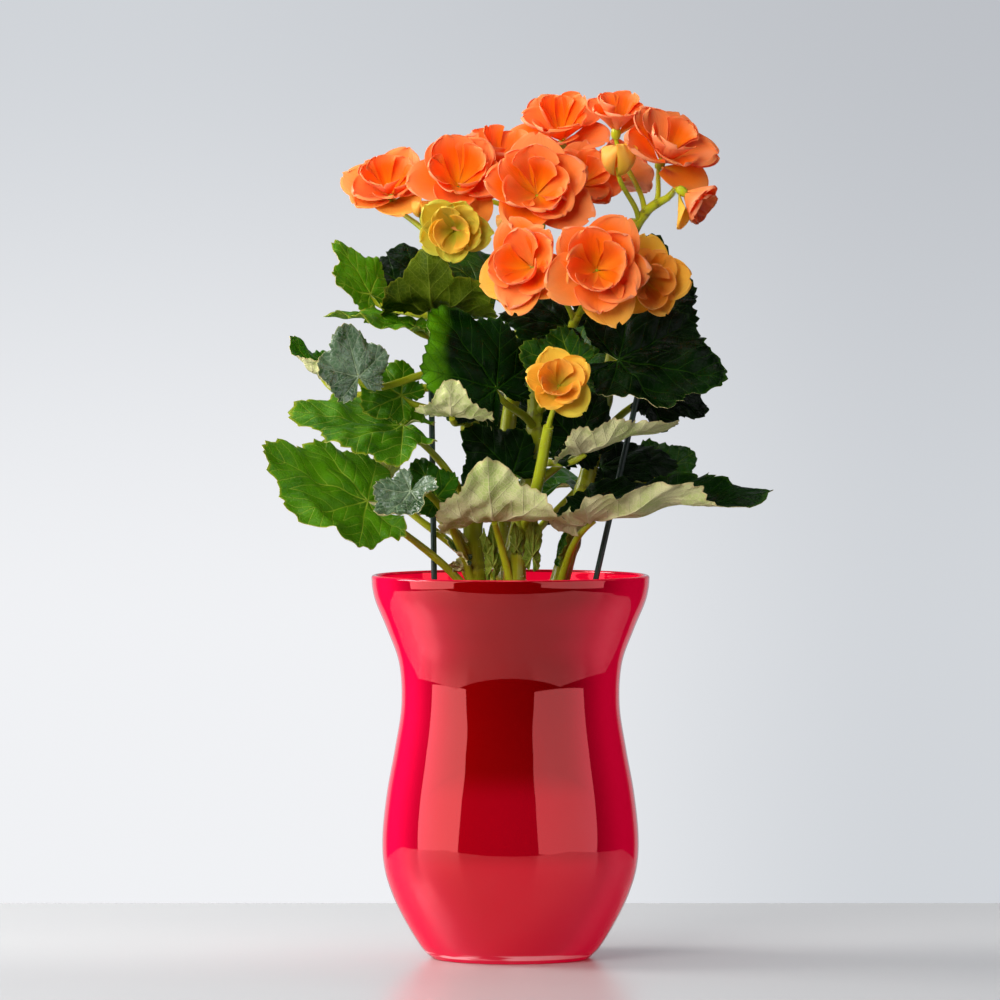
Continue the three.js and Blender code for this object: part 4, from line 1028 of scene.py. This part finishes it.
def petalGrid(axes, base, azimuth, length, width, to, lift, draw, leave=petalShape["leave"]):
    row = np.sin(np.linspace(0.0, math.pi / 2, petalShape["rows"]) ** 1.12 / (math.pi / 2) ** 0.12)[:, None]
    column = np.linspace(-1.0, 1.0, petalShape["columns"])[None, :]
    start = math.radians(leave)
    bend = math.radians(to - leave) / length
    reach = length * row * (1 + 0.02 * np.sin(column * draw.uniform(2, 4) + draw.uniform(0, 6)) * row ** 3)
    angle = start + bend * reach
    widest = petalShape["widest"]
    rise = np.clip(row / widest, 0, 1)
    rise = (rise ** 2 * (3 - 2 * rise)) ** 0.7
    power = petalShape["round"]
    rounding = (1 - (0.994 * np.clip(row - widest, 0, 1) / (1 - widest)) ** power) ** (1 / power)
    half = width / 2 * (petalShape["claw"] + (1 - petalShape["claw"]) * rise) * rounding
    radial = 1 + (np.cos(start) - np.cos(angle)) / bend
    height = lift + (np.sin(angle) - np.sin(start)) / bend
    turn = math.radians(azimuth) + column * np.minimum(0.5 + 0.5 * row, half / radial)
    ruffle = np.sin(column * draw.uniform(3.5, 6) + draw.uniform(0, 6)) * row ** 2.5
    ruffle = ruffle + 0.55 * np.sin(column * draw.uniform(8, 12) + draw.uniform(0, 6)) * row ** 5
    ruffle = ruffle + draw.uniform(-0.5, 0.9) * np.abs(column) ** 3 * row
    ruffle = ruffle - petalShape["crease"] * np.exp(-((column / 0.2) ** 2)) * row
    cup = petalShape["cup"] * (column * rounding) ** 2 * np.minimum(row * 1.5, 1)
    out = length * (petalShape["ruffle"] * ruffle + cup)
    radial = radial - out * np.sin(angle) * 0.9
    height = height + out * np.cos(angle) * 0.9
    grid = placed(base, axes, (height, radial * np.cos(turn), radial * np.sin(turn)))
    full = np.ones_like(reach)
    return grid, {"row": row * full, "column": column * full}


def petalsMesh(name, sheets):
    parts = []
    for grid, values, tint, green in sheets:
        points, faces, picks = thickSheet(grid, petalShape["thickness"], petalShape["margin"])
        values = onBothFaces(values)
        values["tint"] = np.full(len(points), tint)
        values["green"] = np.full(len(points), green)
        parts.append((points, faces, picks, values))
    offsets = np.cumsum([0] + [len(part[0]) for part in parts])
    points = np.vstack([part[0] for part in parts])
    faces = np.vstack([part[1] + offset for part, offset in zip(parts, offsets)])
    picks = np.concatenate([part[2] for part in parts])
    values = {key: np.concatenate([part[3][key] for part in parts]) for key in parts[0][3]}
    return meshOf(name, points, faces.tolist(), values, [made["petalFront"], made["petalBack"]], picks)


def lessInward(pair, inward):
    return pair[0] - pair[1] * inward ** petalShape["ease"]


# Each petal's place from the outermost, 0, to the innermost, 1, its azimuth and its size.
def petalPlans(size, count, extra):
    turn, first = petalShape["turn"], size * petalShape["firstTurn"]
    plans = [(i / (count - 1), i * turn + first, 1.0) for i in range(count)]
    for i in range(extra):
        inward = petalShape["addedFrom"] + petalShape["addedSpan"] * (i + 0.5) / extra
        plans.append((inward, i * turn + first + petalShape["addedTurn"], petalShape["addedSize"]))
    return plans


# Lower outer petals are greener. A green above 0.95 is that of a young flower, which is green all round.
def greenShare(green, inward, azimuth, axes):
    around = math.radians(azimuth)
    down = -(axes[1] * math.cos(around) + axes[2] * math.sin(around))[2]
    lower = min(max(down * 0.9 + 0.45, 0), 1)
    return green * lower * max(1 - inward * 2.2, 0) if green < 0.95 else green - 0.6 * inward


def coreMesh(name, base, along):
    line = np.array([base + along * s for s in (-1.2, 0.2, 1.5, 3.0, 4.2, 5.0)])
    knob = {"line": line, "thick": np.array([2.0, 2.5, 2.6, 2.3, 1.7, 0.6]),
            "youth": np.ones(6), "scar": np.zeros(6)}
    return tubeMesh(name, [knob], sides=16)


def buildBlooms():
    stray = petalShape["stray"]
    for order, (name, bloom) in enumerate(bloomTable.items()):
        grows, at, face, size, count, opens, green, extra = bloom
        draw = np.random.default_rng(petalShape["seed"] + order)
        axes = axesOf(face)
        base = bloomBase(at, size, axes[0])
        sheets = []
        for inward, azimuth, small in petalPlans(size, count, extra):
            grid, values = petalGrid(
                axes, base, azimuth + draw.uniform(-stray, stray),
                size * lessInward(petalShape["length"], inward) * small * draw.uniform(*petalShape["longer"]),
                size * lessInward(petalShape["width"], inward) * small * draw.uniform(*petalShape["wider"]),
                opens * lessInward(petalShape["open"], inward) + draw.uniform(-stray, stray) * (0.4 + inward),
                inward * petalShape["depth"], draw)
            sheets.append((grid, values, draw.uniform(0, 1), greenShare(green, inward, azimuth, axes)))
        whole = joinMeshes(name, [petalsMesh(name, sheets), coreMesh(name + "Core", base, axes[0])])
        asPiece(whole, name)
    print("blooms made:", len(bloomTable))


# A bud is four petals that close over each other: each one's azimuth, size and share of green. leave and
# to are the angles at which a petal starts and ends.
budShape = {"aim": (20, 84), "length": 2.75, "width": 3.3, "leave": 88, "to": -72, "lift": 0.2,
            "petals": ((20, 0.88, 0.45), (110, 0.92, 0.6), (200, 0.96, 0.85), (290, 1.0, 1.0))}


def budMesh(name, at, radius):
    draw = np.random.default_rng(int(radius * 10))
    axes = axesOf(budShape["aim"])
    base = np.array(at, float) - radius * axes[0]
    sheets = []
    for azimuth, small, green in budShape["petals"]:
        length = budShape["length"] * radius * small
        width = budShape["width"] * radius * small
        grid, values = petalGrid(axes, base, azimuth, length, width, budShape["to"], budShape["lift"], draw,
                                 budShape["leave"])
        sheets.append((grid, values, draw.uniform(0, 1), green))
    return petalsMesh(name, sheets)


# Shoots and papery scales low on the stems: the stem, where they sit, their direction, roll, length,
# breadth, cup, the share of the usual teeth and lobes, and the finishes.
shootShape = {"thickness": 0.35, "seed": 900}
shootTable = [
    ("stem_left", (-9, -13, 199), (-80, 78), 10, 22, 0.34, (60, 60), 0, "Bright", "Green"),
    ("stem_left", (-12, -12, 204), (-120, 64), -30, 15, 0.4, (50, 50), 0, "Bright", "Green"),
    ("stem_left", (-24, -9, 204), (196, 40), -40, 13, 0.8, (60, 20), 1, "Silver", "Pale"),
    ("stem_left", (-26, -6, 212), (168, 30), 30, 12, 0.7, (40, 50), 1, "Silver", "Pale"),
    ("stem_left", (-24, -8, 198), (230, 10), 50, 10, 0.6, (70, 30), 1, "Silver", "Pale"),
    ("stem_centre", (11, -12, 204), (-70, 80), -10, 20, 0.36, (50, 60), 0, "Bright", "Green"),
    ("stem_centre", (3, -14, 208), (-100, 70), 20, 13, 0.4, (40, 60), 0, "Bright", "Green"),
    ("stem_right", (26, 2, 204), (-20, 70), 30, 16, 0.4, (60, 40), 0, "Mid", "Green"),
]


def shootMesh(number, row):
    at, aim, roll, reach, broad, cup, toothed, upper, under = row[1:]
    change = {"broad": broad, "cup": cup,
              "tooth": bladeShape["tooth"] * toothed, "lobe": bladeShape["lobe"] * toothed}
    grid, values = bladeGrid(at, aim, roll, reach, change, shootShape["seed"] + number)
    values["sun"] = grid[..., 0] * 0
    return bladeMesh(f"shoot{number}", grid, values, shootShape["thickness"], upper, under)


def buildStems():
    for stem in dict.fromkeys(limb["stem"] for limb in stemTable.values()):
        parts = [tubeMesh(stem, stemsOf(stem), hairs=tubeShape["stemHairs"])]
        for number, (grows, at, radius) in enumerate(budTable):
            if stemTable[grows[0]]["stem"] == stem:
                parts.append(budMesh(f"bud{number}", at, radius))
        parts += [shootMesh(number, row) for number, row in enumerate(shootTable) if row[0] == stem]
        asPiece(joinMeshes(stem, parts), stem)
    print("stems made")


# The vase: radius and height along its outside, its foot from the middle out, and the inner floor from
# the wall in.
vaseShape = {
    "outline": [(39.6, 0), (45.2, 5.5), (53, 18), (59.6, 31.5), (64, 46), (64.9, 62), (62.6, 84), (58.6, 106),
                (55.3, 128), (56.4, 149), (62.3, 166), (68, 179.6), (69.9, 187), (70.4, 192.6)],
    "foot": [(0, 1.4), (20, 1.2), (31, 0.9), (34.5, 0.15), (36, 0), (38.6, 0)],
    "well": [(44.6, 11.2), (41.5, 9.4), (37, 8.4), (28, 8.1), (0, 8)],
    "wall": 2.8, "wellTop": 13.0, "sides": 144, "steps": 12, "lipSteps": 11,
}


def splineThrough(points, steps):
    points = np.array(points, float)
    ends = [points[0], *points, points[-1]]
    line = [curvedSteps(first, second, (second - before) / 2, (after - first) / 2, steps)
            for before, first, second, after in zip(ends, ends[1:], ends[2:], ends[3:])]
    return np.vstack([*line, points[-1:]])


def profileMesh(name, profile):
    mesh = bpy.data.meshes.new(name)
    edges = [(i, i + 1) for i in range(len(profile) - 1)]
    mesh.from_pydata([(r * mm, 0.0, z * mm) for r, z in profile], edges, [])
    return mesh


def turnedMesh(name, profile, sides, material, innerStart=0):
    return throughNodes(name, profileMesh(name + "Profile", profile), turnings, {
        "Sides": sides, "Points": len(profile), "Inner start": innerStart or len(profile) + 1,
        "Material": material})


def buildVase():
    outside = splineThrough(vaseShape["outline"], vaseShape["steps"])
    slope = unit(np.gradient(outside, axis=0))
    inside = outside - vaseShape["wall"] * np.stack([slope[:, 1], -slope[:, 0]], -1)
    inside = inside[inside[:, 1] > vaseShape["wellTop"]][::-1]
    middle = (outside[-1] + inside[0]) / 2
    tilt = math.atan2(outside[-1][1] - inside[0][1], outside[-1][0] - inside[0][0])
    lip = [middle + vaseShape["wall"] / 2 * np.array([math.cos(tilt + a), math.sin(tilt + a)])
           for a in np.linspace(0, math.pi, vaseShape["lipSteps"])[1:-1]]
    profile = [*vaseShape["foot"], *outside[1:], *lip]
    innerStart = len(profile)
    profile += [*inside, *vaseShape["well"]]
    mesh = turnedMesh("vaseGlass", profile, vaseShape["sides"], made["glass"], innerStart)
    asPiece(mesh, "vase")
    print("vase turned from", len(profile), "points")


potShape = {"base": 76.0, "height": 105.0, "baseRadius": 42.5, "topRadius": 57.9, "wall": 1.2, "floor": 1.6,
            "lipRadius": 59.6, "lipHeight": 9.0, "sides": 96,
            "drains": 5, "drainRadius": 4.0, "drainCircle": 31.0, "drainSides": 24}


def potOuter(height):
    share = (height - potShape["base"]) / potShape["height"]
    return potShape["baseRadius"] + (potShape["topRadius"] - potShape["baseRadius"]) * share


def potProfile():
    base, wall, foot = potShape["base"], potShape["wall"], potShape["baseRadius"]
    top = base + potShape["height"]
    under = top - potShape["lipHeight"]
    floor = base + potShape["floor"]
    lip = potShape["lipRadius"]
    return [
        (0, base), (foot - 0.8, base), (foot, base + 0.8), (potOuter(under), under),
        (lip - 0.3, under + 0.2), (lip, under + 0.5), (lip, top - 0.5), (lip - 0.4, top), (lip - 1.0, top),
        (potOuter(top) - wall + 0.6, top - 0.4), (potOuter(under) - wall, under),
        (potOuter(base + 2) - wall, base + 2.2), (foot - wall - 0.8, floor), (0, floor)]


def drainCutter(number):
    sides, base = potShape["drainSides"], potShape["base"]
    angle = number / potShape["drains"] * 2 * math.pi
    ring = np.array([(math.cos(a), math.sin(a)) for a in np.linspace(0, 2 * math.pi, sides + 1)[:-1]])
    middle = np.array([math.cos(angle), math.sin(angle)]) * potShape["drainCircle"]
    flat = middle + ring * potShape["drainRadius"]
    points = [(x, y, z) for z in (base - 3, base + 5) for x, y in flat]
    faces = [[(j + 1) % sides, j, j + sides, (j + 1) % sides + sides][::-1] for j in range(sides)]
    faces += [list(range(sides))[::-1], list(range(sides, 2 * sides))]
    return bpy.data.objects.new(f"drain{number}", meshOf(f"drain{number}", points, faces, {}, []))


def buildPot():
    mesh = turnedMesh("potShell", potProfile(), potShape["sides"], made["potPlastic"])
    piece = linkObject("potUncut", mesh)
    cutters = bpy.data.collections.new("drainCutters")
    bpy.context.scene.collection.children.link(cutters)
    for number in range(potShape["drains"]):
        cutters.objects.link(drainCutter(number))
    cut = piece.modifiers.new("drains", "BOOLEAN")
    cut.operand_type, cut.collection, cut.solver = "COLLECTION", cutters, "EXACT"
    graph = bpy.context.evaluated_depsgraph_get()
    shell = bpy.data.meshes.new_from_object(piece.evaluated_get(graph))
    for used in (piece, *cutters.objects):
        bpy.data.objects.remove(used)
    bpy.data.collections.remove(cutters)
    shell.set_sharp_from_angle(angle=math.radians(40))
    asPiece(shell, "grow_pot")
    print("grow pot made")


# Soil: crumbs and specks are numbers to the square metre with their size in metres, and gap is to the
# pot's wall.
soilShape = {"top": 173.5, "mound": 2.4, "gap": 0.3, "sides": 72, "rings": 12,
             "crumbs": (90000.0, 0.0017, 3), "specks": (5000.0, 0.00136, 11)}


def scatteredMesh(name, bed, grain, material):
    density, size, seed = grain
    return throughNodes(name, bed.copy(), crumbs, {
        "Density": density, "Size": size, "Seed": seed, "Material": material})


def buildSoil():
    gap, top = soilShape["gap"], soilShape["top"]
    base = potShape["base"] + potShape["floor"] + gap
    edge = potOuter(top) - potShape["wall"] - gap
    profile = [(0, base), (potOuter(base) - potShape["wall"] - gap, base), (edge, top - 1.0)]
    for share in np.linspace(1, 0, soilShape["rings"]):
        profile.append((edge * share, top - 1.2 + soilShape["mound"] * (1 - share ** 2)))
    bed = turnedMesh("soilBed", profile, soilShape["sides"], made["soilCrumb"])
    grains = [scatteredMesh("soilCrumbs", bed, soilShape["crumbs"], made["soilCrumb"]),
              scatteredMesh("soilSpecks", bed, soilShape["specks"], made["perlite"])]
    asPiece(joinMeshes("soilWhole", [bed, *grains]), "soil")
    print("soil made")


stakeShape = {"radius": 1.5, "sides": 16, "left": ((-37.2, -2, 98), (-40.6, -2, 331)),
              "right": ((22, 6, 98), (78, 6, 345))}


def buildStakes():
    for side in ("left", "right"):
        foot, top = (np.array(end, float) for end in stakeShape[side])
        share = np.concatenate([[0, 0.006, 0.012], np.linspace(0.03, 0.97, 40), [0.99, 0.996, 1]])
        radius = stakeShape["radius"] * np.sqrt(np.clip(1 - (np.abs(share - 0.5) / 0.5) ** 60, 0.04, 1))
        path = {"line": foot + (top - foot) * share[:, None], "thick": radius,
                "youth": share * 0, "scar": share * 0}
        mesh = throughNodes("stake" + side, pathMesh("stakePath", [path]), tubes, {
            "Sides": stakeShape["sides"], "Uneven": 0.0, "Hairs": 0.0, "Hair length": 0.001, "Seed": 1,
            "Skin": made["stakePlastic"], "Hair": made["stakePlastic"]})
        asPiece(mesh, "stake_" + side)
    print("stakes made")


# The stage in metres: a table, painted darker near the front and paler towards its far edge as painted
# light and shade, and a wall behind that shines by itself and is paler low down and at the left. From says
# between which places a colour fades.
tableLook = {"left": -0.85, "right": 0.7, "front": -0.55, "back": 0.333, "thick": 0.02, "under": 0.00002,
             "near": (0.45, 0.45, 0.455), "far": (0.58, 0.58, 0.585), "farFrom": (-0.14, 0.12),
             "farShare": 0.85, "rough": 0.26}
backdropLook = {"at": 6.0, "size": (7.0, 9.0), "riseFrom": (-0.15, 0.72),
                "lowFrom": (-0.2, 0.55), "low": ((0.875, 0.885, 0.91), (0.64, 0.665, 0.70)),
                "highFrom": (-0.6, 0.7), "high": ((0.63, 0.655, 0.69), (0.51, 0.53, 0.565))}
roomLook = {"seen": (0.66, 0.68, 0.72), "dark": (0.004, 0.004, 0.005), "lit": (0.62, 0.64, 0.68),
            "litFrom": (0.0, 0.6), "mirroredFrom": (0.8, 0.95)}


def plainMesh(name, points, faces, material):
    mesh = bpy.data.meshes.new(name)
    mesh.from_pydata(points, [], faces)
    mesh.materials.append(material)
    return linkObject(name, mesh)


def makeTable(look):
    material, tree = newMaterial("tableTop")
    place = objectPlace(tree)
    grain = noise(tree, place, 6.0, 2.0) * 0.2
    # painted light and shade: the table is painted paler towards the back and darker towards the front
    far = ease(tree, partOf(tree, place, "Y"), *look["farFrom"], 0.0, look["farShare"]) + grain
    finishMaterial(tree, {"Base Color": blendColour(tree, far, look["near"], look["far"]),
                          "Roughness": look["rough"], "Specular IOR Level": 0.5})
    x0, x1, y0, y1 = (look[side] for side in ("left", "right", "front", "back"))
    corners = [(x, y, z) for z in (-look["thick"], -look["under"])
               for x, y in ((x0, y0), (x1, y0), (x1, y1), (x0, y1))]
    faces = [(3, 2, 1, 0), (4, 5, 6, 7), (0, 1, 5, 4), (1, 2, 6, 5), (2, 3, 7, 6), (3, 0, 4, 7)]
    return plainMesh("table", corners, faces, material)


def makeBackdrop(look):
    material, tree = newMaterial("backdrop")
    place = objectPlace(tree)
    across, rise = partOf(tree, place, "X"), partOf(tree, place, "Z")
    low = blendColour(tree, ease(tree, across, *look["lowFrom"]), *look["low"])
    high = blendColour(tree, ease(tree, across, *look["highFrom"]), *look["high"])
    colour = blendColour(tree, ease(tree, rise, *look["riseFrom"]), low, high)
    shine = use(tree, "ShaderNodeEmission", {"Color": colour, "Strength": 1.0})
    out = tree.nodes.new("ShaderNodeOutputMaterial")
    feed(tree, out.inputs["Surface"], shine)
    x, z = (size / 2 for size in look["size"])
    corners = [(-x, look["at"], -z), (x, look["at"], -z), (x, look["at"], z), (-x, look["at"], z)]
    return plainMesh("backdrop", corners, [(0, 1, 2, 3)], material)


# The room around: pale to the camera, and otherwise dark in front and lit behind.
def makeRoom(look):
    world = bpy.data.worlds.new("studio")
    world.use_nodes = True
    tree = world.node_tree
    tree.nodes.clear()
    depth = partOf(tree, use(tree, "ShaderNodeTexCoord", output="Generated"), "Y")
    glossy = use(tree, "ShaderNodeLightPath", output="Is Glossy Ray")
    plainly, mirrored = (ease(tree, depth, *look[key]) for key in ("litFrom", "mirroredFrom"))
    lit = plainly * (1.0 - glossy) + mirrored * glossy
    room = blendColour(tree, lit, look["dark"], look["lit"])
    around = use(tree, "ShaderNodeBackground", {"Color": room, "Strength": 1.0})
    seen = use(tree, "ShaderNodeBackground", {"Color": rgb(*look["seen"]), "Strength": 1.0})
    toCamera = use(tree, "ShaderNodeLightPath", output="Is Camera Ray")
    both = use(tree, "ShaderNodeMixShader", {0: toCamera, 1: around, 2: seen})
    out = tree.nodes.new("ShaderNodeOutputWorld")
    feed(tree, out.inputs["Surface"], both)
    bpy.context.scene.world = world


def buildStage():
    table = makeTable(tableLook)
    backdrop = makeBackdrop(backdropLook)
    makeRoom(roomLook)
    bpy.context.scene.view_settings.view_transform = "Standard"
    print("stage set")


buildStage()
buildVase()
buildPot()
buildSoil()
buildStakes()
buildStems()
buildLeaves()
buildBlooms()
